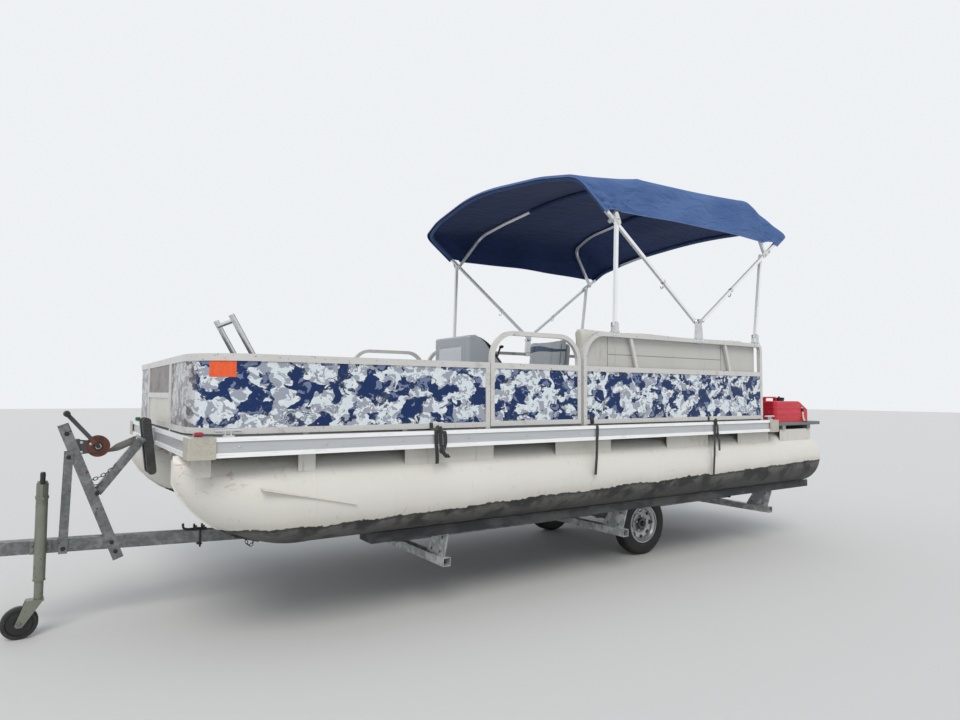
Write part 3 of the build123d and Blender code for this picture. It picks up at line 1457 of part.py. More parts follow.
with BuildPart() as trailer_cross_beams:
    half = CROSS_TUBE / 2
    for aft in CROSS_STATIONS:
        block(aft - half, aft + half, -CROSS_HALF, CROSS_HALF, CROSS_TOP - CROSS_TUBE, CROSS_TOP)
        for side in (1, -1):
            block(
                aft - half + CROSS_WALL,
                aft + half - CROSS_WALL,
                side * (CROSS_HALF - CROSS_HOLLOW),
                side * (CROSS_HALF + 1),
                CROSS_TOP - CROSS_TUBE + CROSS_WALL,
                CROSS_TOP - CROSS_WALL,
                mode=Mode.SUBTRACT,
            )
trailer_cross_beams.part.label = "trailer_cross_beams"
export_step(trailer_cross_beams.part, "parts/trailer_cross_beams.step")

with BuildPart() as bunk_brackets:
    for aft in CROSS_STATIONS:
        for side in (1, -1):
            with BuildSketch(station(aft)) as plate:
                with BuildLine():
                    Polyline(
                        (side * BRACKET_IN, z_at(CROSS_TOP)),
                        (side * BRACKET_OUT, z_at(CROSS_TOP)),
                        (side * (TUBE_Y + BUNK_HALF), z_at(BUNK_LOW)),
                        (side * (TUBE_Y - BUNK_HALF), z_at(BUNK_LOW)),
                        close=True,
                    )
                make_face()
            extrude(plate.sketch, amount=BRACKET_THICK / 2, both=True)
bunk_brackets.part.label = "bunk_brackets"
export_step(bunk_brackets.part, "parts/bunk_brackets.step")

with BuildPart() as trailer_bunks:
    for side in (1, -1):
        with BuildSketch(station(BUNK_FRONT)):
            with Locations((side * TUBE_Y, z_at((BUNK_LOW + BUNK_TOP) / 2))):
                Rectangle(2 * BUNK_HALF, BUNK_TOP - BUNK_LOW)
            with Locations((side * TUBE_Y, z_at(TUBE_Z))):
                Circle(TUBE_R + FIT, mode=Mode.SUBTRACT)
        extrude(amount=-(BUNK_BACK - BUNK_FRONT))
trailer_bunks.part.label = "trailer_bunks"
export_step(trailer_bunks.part, "parts/trailer_bunks.step")

# Axle on two leaf springs, each a long leaf with a short one under it, hung from the rails
TYRE_HALF = 61
RIM_R = 160
WHEEL_Y = 600
AXLE_AFT = 3780
AXLE_SIZE = 50
SPINDLE_R_AXLE = 16
SPRING_HALF = 330
SPRING_RISE = 26
LEAF = 8
LEAF_HALF = 22
HANGER_HALF = 16
SPRING_SEAT = AXLE_HEIGHT + AXLE_SIZE / 2

with BuildPart() as trailer_axle:
    half = AXLE_SIZE / 2
    axle_end = WHEEL_Y - 75
    block(
        AXLE_AFT - half, AXLE_AFT + half, -axle_end, axle_end, AXLE_HEIGHT - half, AXLE_HEIGHT + half
    )
    for side in (1, -1):
        rod(
            (x_at(AXLE_AFT), side * axle_end, z_at(AXLE_HEIGHT)),
            (x_at(AXLE_AFT), side * (WHEEL_Y + 30), z_at(AXLE_HEIGHT)),
            SPINDLE_R_AXLE,
        )
        y = side * RAIL_Y
        for leaf, reach in ((1, SPRING_HALF), (0, SPRING_HALF / 2)):
            middle = SPRING_SEAT + LEAF * (leaf + 0.5)
            rise = SPRING_RISE * (reach / SPRING_HALF) ** 2
            with BuildSketch(side_plane(y)) as spring:
                with BuildLine():
                    ThreePointArc(
                        (x_at(AXLE_AFT - reach), z_at(middle + rise)),
                        (x_at(AXLE_AFT), z_at(middle)),
                        (x_at(AXLE_AFT + reach), z_at(middle + rise)),
                    )
                trace(line_width=LEAF + 0.1)
            extrude(spring.sketch, amount=LEAF_HALF, both=True)
        for end in (-1, 1):
            aft = AXLE_AFT + end * (SPRING_HALF - HANGER_HALF)
            block(
                aft - HANGER_HALF,
                aft + HANGER_HALF,
                y - LEAF_HALF,
                y + LEAF_HALF,
                SPRING_SEAT + LEAF + SPRING_RISE - 12,
                CROSS_TOP,
            )
trailer_axle.part.label = "trailer_axle"
export_step(trailer_axle.part, "parts/trailer_axle.step")

# Wheels: tyre and rim are turned profiles given as (radius, distance outward from the middle)
BEAD = 50
TYRE_PROFILE = (
    (RIM_R, -BEAD),
    (RIM_R + 16, -TYRE_HALF + 3),
    (RIM_R + 52, -TYRE_HALF),
    (TYRE_R - 20, -TYRE_HALF + 6),
    (TYRE_R - 6, -TYRE_HALF + 16),
    (TYRE_R, -TYRE_HALF + 32),
    (TYRE_R, TYRE_HALF - 32),
    (TYRE_R - 6, TYRE_HALF - 16),
    (TYRE_R - 20, TYRE_HALF - 6),
    (RIM_R + 52, TYRE_HALF),
    (RIM_R + 16, TYRE_HALF - 3),
    (RIM_R, BEAD),
)
RIM_OUT = RIM_R - FIT
RIM_WELL = RIM_R - 17
HUB_R = 47
HUB_BORE = SPINDLE_R_AXLE + PIN_PLAY
HUB_BACK = -30
HUB_FACE = 40
RIM_PROFILE = (
    (RIM_OUT, -55),
    (RIM_OUT, -42),
    (RIM_WELL, -30),
    (RIM_WELL, 24),
    (RIM_OUT, 38),
    (RIM_OUT, 55),
    (RIM_OUT - 7, 55),
    (RIM_OUT - 8, 41),
    (RIM_WELL - 6, 27),
    (RIM_WELL - 8, 15),
    (118, 22),
    (82, 12),
    (HUB_R, 18),
    (HUB_R - 4, HUB_FACE),
    (HUB_BORE, HUB_FACE),
    (HUB_BORE, HUB_BACK),
    (HUB_R, HUB_BACK),
    (HUB_R, 9),
    (82, 4),
    (118, 13),
    (RIM_WELL - 8, 6),
    (RIM_WELL - 6, -28),
    (RIM_OUT - 8, -41),
    (RIM_OUT - 7, -55),
)
WINDOWS = 8
WINDOW_AT = 112
WINDOW_LONG = 26
WINDOW_WIDE = 38

for side, name in ((1, "port"), (-1, "starboard")):
    hub = (x_at(AXLE_AFT), side * WHEEL_Y, z_at(AXLE_HEIGHT))
    spin = Axis(hub, (0, side, 0))
    half_plane = Plane(origin=hub, x_dir=(1, 0, 0), z_dir=(0, 0, side))
    wheel_plane = Plane(origin=hub, z_dir=(0, side, 0))
    with BuildPart() as tyre:
        with BuildSketch(half_plane) as section:
            with BuildLine():
                Polyline(*TYRE_PROFILE, close=True)
            make_face()
        revolve(section.sketch, axis=spin)
    tyre.part.label = name + "_tyre"
    export_step(tyre.part, f"parts/{name}_tyre.step")
    with BuildPart() as rim:
        with BuildSketch(half_plane) as section:
            with BuildLine():
                Polyline(*RIM_PROFILE, close=True)
            make_face()
        revolve(section.sketch, axis=spin)
        with BuildSketch(wheel_plane) as windows:
            with PolarLocations(WINDOW_AT, WINDOWS):
                RectangleRounded(WINDOW_LONG, WINDOW_WIDE, 8)
        extrude(windows.sketch, amount=HUB_FACE, mode=Mode.SUBTRACT)
    rim.part.label = name + "_rim"
    export_step(rim.part, f"parts/{name}_rim.step")

# Coupler at the tongue's nose: a cast shell with a latch lever over its ball socket
BALL_R = 25.4
COUPLER_AFT = -TONGUE_REACH + 50
COUPLER_FLOOR = TONGUE_HIGH - FRAME_TUBE
COUPLER_HALF = 38
SOCKET_DEEP = 45
LATCH_LONG = 95

with BuildPart() as coupler:
    block(-TONGUE_REACH, TONGUE_NOSE, -COUPLER_HALF, COUPLER_HALF, COUPLER_FLOOR, TONGUE_HIGH + 4)
    fillet(coupler.edges().filter_by(Axis.Z).sort_by(Axis.X)[-2:], radius=30)
    side_profile(
        (
            (COUPLER_AFT + 10, TONGUE_HIGH + 4),
            (COUPLER_AFT + 22, TONGUE_HIGH + 26),
            (COUPLER_AFT + LATCH_LONG, TONGUE_HIGH + 32),
            (COUPLER_AFT + LATCH_LONG, TONGUE_HIGH + 24),
            (COUPLER_AFT + 50, TONGUE_HIGH + 4),
        ),
        -12,
        12,
    )
    with BuildSketch(level(COUPLER_FLOOR)):
        with Locations((x_at(COUPLER_AFT), 0)):
            Circle(BALL_R + 0.5)
    extrude(amount=SOCKET_DEEP, mode=Mode.SUBTRACT)
coupler.part.label = "coupler"
export_step(coupler.part, "parts/coupler.step")

# Jack on the tongue's port side, with a crank and a trailing caster
JACK_AFT = -575
JACK_Y = 95
JACK_TOP = -300
JACK_TUBE_R = 30
JACK_TUBE_LOW = -850
JACK_RAM_R = 23
JACK_WHEEL_R = 90
JACK_WHEEL_HALF = 22
JACK_TRAIL = 85
JACK_WHEEL_AFT = JACK_AFT - JACK_TRAIL
JACK_FOOT = GROUND + 2 * JACK_WHEEL_R + 30
CRANK_HEIGHT = -380
CRANK_OUT = 62
CRANK_GRIP = 150

with BuildPart() as jack:
    for low, high, radius in (
        (JACK_TUBE_LOW, JACK_TOP, JACK_TUBE_R),
        (JACK_FOOT, JACK_TUBE_LOW, JACK_RAM_R),
        (JACK_TOP, JACK_TOP + 12, JACK_TUBE_R - 5),
    ):
        with BuildSketch(level(low)):
            with Locations((x_at(JACK_AFT), JACK_Y)):
                Circle(radius)
        extrude(amount=high - low)
    block(
        JACK_AFT - 50, JACK_AFT + 50, FRAME_TUBE / 2, JACK_Y - 20, TONGUE_HIGH - 80, TONGUE_HIGH - 4
    )
    rod(
        (x_at(JACK_AFT), JACK_Y, z_at(CRANK_HEIGHT)),
        (x_at(JACK_AFT), JACK_Y + CRANK_OUT + 8, z_at(CRANK_HEIGHT)),
        10,
    )
    rod(
        (x_at(JACK_AFT), JACK_Y + CRANK_OUT, z_at(CRANK_HEIGHT)),
        (x_at(JACK_AFT), JACK_Y + CRANK_OUT, z_at(CRANK_HEIGHT + CRANK_GRIP)),
        8,
    )
jack.part.label = "jack"
export_step(jack.part, "parts/jack.step")

FORK_OUT = 32
FORK_IN = 26
FORK_PLATE = 10
CASTER_PIN_R = 8
JACK_AXLE_HEIGHT = GROUND + JACK_WHEEL_R

with BuildPart() as jack_caster:
    top = JACK_FOOT - SWIVEL_GAP
    block(
        JACK_AFT - 60, JACK_AFT + 28, JACK_Y - FORK_OUT, JACK_Y + FORK_OUT, top - FORK_PLATE, top
    )
    for side in (1, -1):
        side_profile(
            (
                (JACK_AFT + 28, top),
                (JACK_AFT - 60, top),
                (JACK_WHEEL_AFT - 22, JACK_AXLE_HEIGHT - 10),
                (JACK_WHEEL_AFT - 12, JACK_AXLE_HEIGHT - 22),
                (JACK_WHEEL_AFT + 12, JACK_AXLE_HEIGHT - 22),
                (JACK_WHEEL_AFT + 22, JACK_AXLE_HEIGHT - 10),
            ),
            JACK_Y + side * FORK_IN,
            JACK_Y + side * FORK_OUT,
        )
    rod(
        (x_at(JACK_WHEEL_AFT), JACK_Y - FORK_OUT, z_at(JACK_AXLE_HEIGHT)),
        (x_at(JACK_WHEEL_AFT), JACK_Y + FORK_OUT, z_at(JACK_AXLE_HEIGHT)),
        CASTER_PIN_R,
    )
jack_caster.part.label = "jack_caster"
export_step(jack_caster.part, "parts/jack_caster.step")

# the caster wheel's turned profile: radius and distance from its middle
JACK_WHEEL_PROFILE = (
    (CASTER_PIN_R + PIN_PLAY, -JACK_WHEEL_HALF),
    (22, -JACK_WHEEL_HALF),
    (26, -JACK_WHEEL_HALF + 8),
    (JACK_WHEEL_R - 26, -JACK_WHEEL_HALF + 8),
    (JACK_WHEEL_R - 22, -JACK_WHEEL_HALF),
    (JACK_WHEEL_R - 8, -JACK_WHEEL_HALF),
    (JACK_WHEEL_R, -JACK_WHEEL_HALF + 9),
    (JACK_WHEEL_R, JACK_WHEEL_HALF - 9),
    (JACK_WHEEL_R - 8, JACK_WHEEL_HALF),
    (JACK_WHEEL_R - 22, JACK_WHEEL_HALF),
    (JACK_WHEEL_R - 26, JACK_WHEEL_HALF - 8),
    (26, JACK_WHEEL_HALF - 8),
    (22, JACK_WHEEL_HALF),
    (CASTER_PIN_R + PIN_PLAY, JACK_WHEEL_HALF),
)

with BuildPart() as jack_wheel:
    caster_hub = (x_at(JACK_WHEEL_AFT), JACK_Y, z_at(JACK_AXLE_HEIGHT))
    with BuildSketch(Plane(origin=caster_hub, x_dir=(1, 0, 0), z_dir=(0, 0, 1))) as section:
        with BuildLine():
            Polyline(*JACK_WHEEL_PROFILE, close=True)
        make_face()
    revolve(section.sketch, axis=Axis(caster_hub, (0, 1, 0)))
jack_wheel.part.label = "jack_wheel"
export_step(jack_wheel.part, "parts/jack_wheel.step")

# Winch stand: a leaning post and leg of paired flats with an arm that carries the bow stop
POST_HEAD = (-485, 27)
POST_FOOT = (-175, -790)
LEG_HEAD = (-450, -134)
LEG_FOOT = (-465, -725)
ARM_FOOT = (-298, -387)
ARM_HEAD = (-64, -75)
STAND_TIE = (-465, -25)
POST_WIDE = 60
LEG_WIDE = 45
ARM_WIDE = 50
STAND_FLAT = 6
TIE_R = 9
STOP_PIN_R = 11


def flat_bar(foot, head, width, y_0, y_1):
    """A flat or square bar between two (aft, height) points, y_0 to y_1 thick."""
    run = Vector(head[0] - foot[0], 0, head[1] - foot[1]).normalized()
    dx = -run.Z * width / 2
    dz = run.X * width / 2
    side_profile(
        (
            (foot[0] + dx, foot[1] + dz),
            (head[0] + dx, head[1] + dz),
            (head[0] - dx, head[1] - dz),
            (foot[0] - dx, foot[1] - dz),
        ),
        y_0,
        y_1,
    )


with BuildPart() as winch_stand:
    beam_side = FRAME_TUBE / 2 + FIT
    for side in (1, -1):
        post_in = side * beam_side
        post_out = side * (beam_side + STAND_FLAT)
        flat_bar(POST_FOOT, POST_HEAD, POST_WIDE, post_in, post_out)
        flat_bar(LEG_FOOT, LEG_HEAD, LEG_WIDE, post_out, side * (beam_side + 2 * STAND_FLAT))
    flat_bar(ARM_FOOT, ARM_HEAD, ARM_WIDE, -ARM_WIDE / 2, ARM_WIDE / 2)
    for tie in (ARM_FOOT, STAND_TIE):
        reach = beam_side + STAND_FLAT / 2
        rod((x_at(tie[0]), -reach, z_at(tie[1])), (x_at(tie[0]), reach, z_at(tie[1])), TIE_R)
    stop_reach = 85
    rod(
        (x_at(ARM_HEAD[0]), -stop_reach, z_at(ARM_HEAD[1])),
        (x_at(ARM_HEAD[0]), stop_reach, z_at(ARM_HEAD[1])),
        STOP_PIN_R,
    )
winch_stand.part.label = "winch_stand"
export_step(winch_stand.part, "parts/winch_stand.step")

# Winch: base block and side plates on the post, a spool between them and a crank to port
DRUM_AFT = -300
DRUM_HEIGHT = -106
DRUM_R = 64
DRUM_FLANGE = 4
DRUM_FLANGE_Y = 26
SPOOL_R = 40
WINCH_FRONT = -455
WINCH_BACK = -395
WINCH_PLATE_Y = 33
WINCH_PLATE = 4
CRANK_FOOT = (DRUM_AFT, DRUM_HEIGHT)
CRANK_HEAD = (-470, 95)
CRANK_Y = 56
CRANK_WIDE = 24

with BuildPart() as winch:
    block(
        WINCH_FRONT, WINCH_BACK, -FRAME_TUBE / 2, FRAME_TUBE / 2, DRUM_HEIGHT - 55, DRUM_HEIGHT + 45
    )
    for y in (-WINCH_PLATE_Y, WINCH_PLATE_Y):
        side_profile(
            (
                (WINCH_BACK - 10, DRUM_HEIGHT - 45),
                (WINCH_BACK - 10, DRUM_HEIGHT + 40),
                (DRUM_AFT - 10, DRUM_HEIGHT + 30),
                (DRUM_AFT + 22, DRUM_HEIGHT + 8),
                (DRUM_AFT + 22, DRUM_HEIGHT - 14),
                (DRUM_AFT - 10, DRUM_HEIGHT - 36),
            ),
            y - WINCH_PLATE / 2,
            y + WINCH_PLATE / 2,
        )
    for y in (-DRUM_FLANGE_Y, DRUM_FLANGE_Y):
        rod(
            (x_at(DRUM_AFT), y - DRUM_FLANGE / 2, z_at(DRUM_HEIGHT)),
            (x_at(DRUM_AFT), y + DRUM_FLANGE / 2, z_at(DRUM_HEIGHT)),
            DRUM_R,
        )
    rod(
        (x_at(DRUM_AFT), -WINCH_PLATE_Y, z_at(DRUM_HEIGHT)),
        (x_at(DRUM_AFT), WINCH_PLATE_Y, z_at(DRUM_HEIGHT)),
        SPOOL_R,
    )
    rod(
        (x_at(DRUM_AFT), WINCH_PLATE_Y, z_at(DRUM_HEIGHT)),
        (x_at(DRUM_AFT), CRANK_Y, z_at(DRUM_HEIGHT)),
        11,
    )
    flat_bar(CRANK_FOOT, CRANK_HEAD, CRANK_WIDE, CRANK_Y - 3, CRANK_Y + 3)
    rod(
        (x_at(CRANK_HEAD[0]), CRANK_Y, z_at(CRANK_HEAD[1])),
        (x_at(CRANK_HEAD[0]), CRANK_Y + 110, z_at(CRANK_HEAD[1])),
        15,
    )
winch.part.label = "winch"
export_step(winch.part, "parts/winch.step")

# Bow stop: two long rubber pads on the arm's cross pin, tapered at the ends
PAD_FOOT = (-5, -290)
PAD_HEAD = (-48, 62)
PAD_WIDE = 50
PAD_HALF = 22
PAD_Y = 60

with BuildPart() as bow_stop_pads:
    for y in (-PAD_Y, PAD_Y):
        flat_bar(PAD_FOOT, PAD_HEAD, PAD_WIDE, y - PAD_HALF, y + PAD_HALF)
    fillet(bow_stop_pads.edges().filter_by(Axis.Y), radius=PAD_WIDE / 2 - 2)
    for y in (-PAD_Y, PAD_Y):
        rod(
            (x_at(ARM_HEAD[0]), y - PAD_HALF - 1, z_at(ARM_HEAD[1])),
            (x_at(ARM_HEAD[0]), y + PAD_HALF + 1, z_at(ARM_HEAD[1])),
            STOP_PIN_R + FIT,
            mode=Mode.SUBTRACT,
        )
bow_stop_pads.part.label = "bow_stop_pads"
export_step(bow_stop_pads.part, "parts/bow_stop_pads.step")
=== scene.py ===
import math

import bmesh
import bpy
import numpy as np
from mathutils import Matrix


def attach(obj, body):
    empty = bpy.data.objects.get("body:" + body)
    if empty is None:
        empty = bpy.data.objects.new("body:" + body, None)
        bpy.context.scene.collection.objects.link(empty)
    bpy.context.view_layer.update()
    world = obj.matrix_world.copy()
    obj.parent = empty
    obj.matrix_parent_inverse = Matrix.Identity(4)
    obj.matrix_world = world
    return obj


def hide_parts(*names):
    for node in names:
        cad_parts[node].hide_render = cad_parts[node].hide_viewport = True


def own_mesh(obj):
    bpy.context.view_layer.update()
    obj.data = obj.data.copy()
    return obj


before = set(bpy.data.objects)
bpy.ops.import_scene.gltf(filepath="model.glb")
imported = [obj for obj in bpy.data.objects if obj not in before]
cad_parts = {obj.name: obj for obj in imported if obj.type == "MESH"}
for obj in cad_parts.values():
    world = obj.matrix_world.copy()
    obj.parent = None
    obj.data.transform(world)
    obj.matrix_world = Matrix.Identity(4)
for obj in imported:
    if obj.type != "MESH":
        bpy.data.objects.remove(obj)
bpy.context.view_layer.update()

# Camera: at eye height off the port bow, looking aft along the side of the boat.
# The frame is 960 by 720, and the lens is that of a phone's wide camera.
CAMERA_PLACE = (3.0802, 4.6393, 1.3820)
YAW, PITCH, ROLL = -2.1603, 0.0515, 0.0043
FOCAL_PIXELS, FRAME_PIXELS, SENSOR_WIDTH = 655.432, 960, 36

forward = np.array([math.cos(YAW) * math.cos(PITCH), math.sin(YAW) * math.cos(PITCH), math.sin(PITCH)])
level_right = np.cross(forward, (0, 0, 1)) / math.cos(PITCH)
level_up = np.cross(level_right, forward)
right = level_right * math.cos(ROLL) + level_up * math.sin(ROLL)
up = level_up * math.cos(ROLL) - level_right * math.sin(ROLL)
matrix = np.eye(4)
matrix[:3] = np.column_stack([right, up, -forward, CAMERA_PLACE])
camera_data = bpy.data.cameras.new("camera")
camera_data.sensor_width = SENSOR_WIDTH
camera_data.lens = FOCAL_PIXELS * SENSOR_WIDTH / FRAME_PIXELS
camera_data.clip_end = 200
camera = bpy.data.objects.new("camera", camera_data)
camera.matrix_world = Matrix(matrix.tolist())
bpy.context.collection.objects.link(camera)
bpy.context.scene.camera = camera
bpy.context.scene.view_settings.view_transform = "Standard"


# Studio: a pale floor, a pale sky all round and one wide soft lamp high over the port side.
# The sky lights evenly, so the shadow under the hull stays soft.
def put(tree, kind, inputs=None, **settings):
    """Places a node in a tree; an input given as a socket is joined, any other value is set."""
    node = tree.nodes.new(kind)
    for key, value in settings.items():
        setattr(node, key, value)
    for key, value in (inputs or {}).items():
        value = getattr(value, "socket", value)
        if isinstance(value, bpy.types.NodeSocket):
            tree.links.new(value, node.inputs[key])
        else:
            node.inputs[key].default_value = value
    return node


sky = bpy.data.worlds.new("sky")
bpy.context.scene.world = sky
sky.use_nodes = True
tree = sky.node_tree
tree.nodes.clear()
ray = put(tree, "ShaderNodeLightPath").outputs
seen = ray["Is Camera Ray"]
for other_ray in ("Is Glossy Ray", "Is Transmission Ray"):
    seen = put(tree, "ShaderNodeMath", {0: seen, 1: ray[other_ray]}, operation="MAXIMUM").outputs[0]
light_sky = put(tree, "ShaderNodeBackground", {"Color": (0.86, 0.92, 1.0, 1), "Strength": 0.76})
seen_sky = put(tree, "ShaderNodeBackground", {"Color": (0.86, 0.88, 0.90, 1), "Strength": 1.0})
both_skies = put(tree, "ShaderNodeMixShader", {0: seen, 1: light_sky.outputs[0], 2: seen_sky.outputs[0]})
put(tree, "ShaderNodeOutputWorld", {"Surface": both_skies.outputs[0]})

lamp_data = bpy.data.lights.new("lamp", "SUN")
lamp_data.energy = 1.4
lamp_data.angle = math.radians(32)
lamp_data.color = (1.0, 0.97, 0.92)
lamp = bpy.data.objects.new("lamp", lamp_data)
lamp.rotation_euler = (math.radians(-37), math.radians(25), 0)
bpy.context.collection.objects.link(lamp)

FLOOR_REACH = 60
floor_corners = [(x * FLOOR_REACH, y * FLOOR_REACH, 0) for x, y in ((-1, -1), (1, -1), (1, 1), (-1, 1))]
floor_mesh = bpy.data.meshes.new("floor")
floor_mesh.from_pydata(floor_corners, [], [(0, 1, 2, 3)])
floor = bpy.data.objects.new("floor", floor_mesh)
bpy.context.collection.objects.link(floor)
floor_finish = bpy.data.materials.new("pale_floor")
floor_finish.use_nodes = True
floor_shader = floor_finish.node_tree.nodes["Principled BSDF"]
floor_shader.inputs["Base Color"].default_value = (0.66, 0.65, 0.63, 1)
floor_shader.inputs["Roughness"].default_value = 0.9
floor_mesh.materials.append(floor_finish)


# Pontoons: two closed aluminium tubes, rolled in lengths and welded round, painted cream.
# The water has left a ragged dark line low on each, and the noses are scuffed from landing.
class Value:
    """A value or colour that changes over a surface; sums and products of it are Math nodes."""

    def __init__(self, socket):
        self.socket, self.tree = socket, socket.id_data

    def math(self, how, other=0.0):
        return Value(put(self.tree, "ShaderNodeMath", {0: self, 1: other}, operation=how).outputs[0])

    def __add__(self, other):
        return self.math("ADD", other)

    def __sub__(self, other):
        return self.math("SUBTRACT", other)

    def __rsub__(self, other):
        return Value(put(self.tree, "ShaderNodeMath", {0: other, 1: self}, operation="SUBTRACT").outputs[0])

    def __mul__(self, other):
        return self.math("MULTIPLY", other)

    def __abs__(self):
        return self.math("ABSOLUTE")

    def ramp(self, low, high, start=0.0, end=1.0, how="LINEAR"):
        """Goes from start to end as the value goes from low to high."""
        inputs = {0: self, 1: low, 2: high, 3: start, 4: end}
        return Value(put(self.tree, "ShaderNodeMapRange", inputs, interpolation_type=how).outputs[0])

    def step(self, low, high):
        """0 where the value is under low, 1 where it is over high, with a soft step between."""
        return self.ramp(low, high, how="SMOOTHSTEP")


def noise(tree, place, scale, detail, warp=0.0):
    """Soft noise around 0.5, drawn at a place and a scale."""
    inputs = {"Vector": place, "Scale": scale, "Detail": detail, "Distortion": warp}
    return Value(put(tree, "ShaderNodeTexNoise", inputs).outputs[0])


def effect(name, gives, **takes):
    """A node group for an effect that many finishes use: a place and some numbers go in, and one
    value comes out. Gives the group and its inputs."""
    group = bpy.data.node_groups.new(name, "ShaderNodeTree")
    group.interface.new_socket("Place", in_out="INPUT", socket_type="NodeSocketVector")
    for label, value in takes.items():
        socket = group.interface.new_socket(label, in_out="INPUT", socket_type="NodeSocketFloat")
        socket.default_value = value
    group.interface.new_socket(gives, in_out="OUTPUT", socket_type="NodeSocketFloat")
    inner = put(group, "NodeGroupInput").outputs
    return group, [Value(inner[label]) for label in ("Place", *takes)]


# dirt that gathers in soft patches with finer specks in them, as a mask from 0 to 1
grime, (place, scale, cover) = effect("grime", "Mask", Scale=1.0, Cover=0.5)
dirt = noise(grime, place, scale, 5.0) + noise(grime, place, scale * 9.0, 4.0) * 0.45
edge = 1.02 - cover * 0.42
put(grime, "NodeGroupOutput", {"Mask": dirt.ramp(edge, edge + 0.22)})

# fine marks drawn out along the length, as a mask, from brushing, rubbing or scratching
streaks, (place, scale, cover) = effect("streaks", "Mask", Scale=1.0, Cover=0.5)
edge = 0.78 - cover * 0.3
put(streaks, "NodeGroupOutput", {"Mask": noise(streaks, place, scale, 2.0).ramp(edge, edge + 0.09)})

# the slight unevenness of paint, moulded plastic or cast skin, as a height
grain, (place, scale) = effect("grain", "Height", Scale=900.0)
height = noise(grain, place, scale, 3.0) * 0.25 + noise(grain, place, scale * 0.02, 2.0)
put(grain, "NodeGroupOutput", {"Height": height})


def tone(colour):
    """A colour as a screen shows it, 0 to 255 a channel, made linear for the shaders; a colour
    that already changes over the surface stays as it is."""
    if isinstance(colour, Value):
        return colour
    share = np.array(colour) / 255
    light = np.where(share <= 0.04045, share / 12.92, ((share + 0.055) / 1.055) ** 2.4)
    return (*light.tolist(), 1.0)


class Finish:
    """A material in the making. Its base is two tones in soft patches of a size in metres, and
    dirt, marks and spots are laid over it in turn. Its slot argument is stored but not used."""

    def __init__(self, name, size=None, light=None, dark=None, slot=None, **settings):
        self.material, self.slot = bpy.data.materials.new(name), slot
        self.material.use_nodes = True
        self.tree = self.material.node_tree
        self.shader = self.tree.nodes["Principled BSDF"].inputs
        for key, value in settings.items():
            self.shader[key.replace("_", " ")].default_value = value
        self.place = put(self.tree, "ShaderNodeTexCoord").outputs["Object"]
        self.soil = None
        if size:
            self.base(self.cloud(size), light, dark)

    def node(self, kind, inputs, output=0, **settings):
        """The chosen output of a new node."""
        return Value(put(self.tree, kind, inputs, **settings).outputs[output])

    def axis(self, letter, of=None):
        return self.node("ShaderNodeSeparateXYZ", {0: of or self.place}, letter)

    def stretched(self, across):
        """The place with each axis scaled, so that a pattern on it is drawn out."""
        return self.node("ShaderNodeMapping", {"Vector": self.place, "Scale": across}) if across else self.place

    def cloud(self, size, detail=3.0, warp=0.0, across=None):
        """Noise whose patches are about a size in metres across."""
        return noise(self.tree, self.stretched(across), 1 / size, detail, warp)

    def wave(self, scale, way="X"):
        return self.node("ShaderNodeTexWave", {"Vector": self.place, "Scale": scale}, 1, bands_direction=way)

    def cells(self, scale, output=0, **settings):
        return self.node("ShaderNodeTexVoronoi", {"Vector": self.place, "Scale": scale}, output, **settings)

    def shared(self, group, scale, across=None, **inputs):
        """The output of a shared effect."""
        inputs |= {"Place": self.stretched(across), "Scale": scale}
        return self.node("ShaderNodeGroup", inputs, node_tree=group)

    def mix(self, share, under, over):
        return self.node("ShaderNodeMix", {0: share, 6: tone(under), 7: tone(over)}, 2, data_type="RGBA")

    def base(self, mask, light, dark):
        self.colour = self.mix(mask, light, dark)
        return self

    def lay(self, mask, share, colour):
        """Lays a colour over what is there, by a share of a mask."""
        return self.base(mask if share == 1 else mask * share, self.colour, colour)

    def dirty(self, scale, cover, share, colour, across=None):
        """Lays dirt; the first dirt laid is also what roughens the finish."""
        mask = self.shared(grime, scale, across, Cover=cover)
        self.soil = self.soil or mask
        return self.lay(mask, share, colour)

    def marked(self, across, scale, cover, share, colour):
        return self.lay(self.shared(streaks, scale, across, Cover=cover), share, colour)

    def spotted(self, size, detail, low, high, share, colour, warp=0.0):
        return self.lay(self.cloud(size, detail, warp).step(low, high), share, colour)

    def off_axle(self, centre):
        """The distance from a line that runs across the boat through a place."""
        off = self.node("ShaderNodeVectorMath", {0: self.place, 1: centre}, operation="SUBTRACT")
        flat = self.node("ShaderNodeVectorMath", {0: off, 1: (1, 0, 1)}, operation="MULTIPLY")
        return self.node("ShaderNodeVectorMath", {0: flat}, "Value", operation="LENGTH")

    def close(self, low, high, relief, depth=0.0004, by=None):
        """Joins the finish to its shader: a roughness from low to high by the dirt or another
        mask, and a fine relief, which is a height or else the scale of the shared grain."""
        self.tree.links.new(self.colour.socket, self.shader["Base Color"])
        if high:
            self.tree.links.new((by or self.soil).ramp(0.0, 1.0, low, high).socket, self.shader["Roughness"])
        if relief:
            height = relief if isinstance(relief, Value) else self.shared(grain, relief)
            bump = self.node("ShaderNodeBump", {"Strength": 1.0, "Distance": depth, "Height": height}, "Normal")
            self.tree.links.new(bump.socket, self.shader["Normal"])
        return self

    def on(self, *nodes):
        """Puts the finish on CAD nodes."""
        for node in nodes:
            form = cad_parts[node]
            if not form.material_slots:
                form.data.materials.append(self.material)
            for held in form.material_slots:
                held.material = self.material


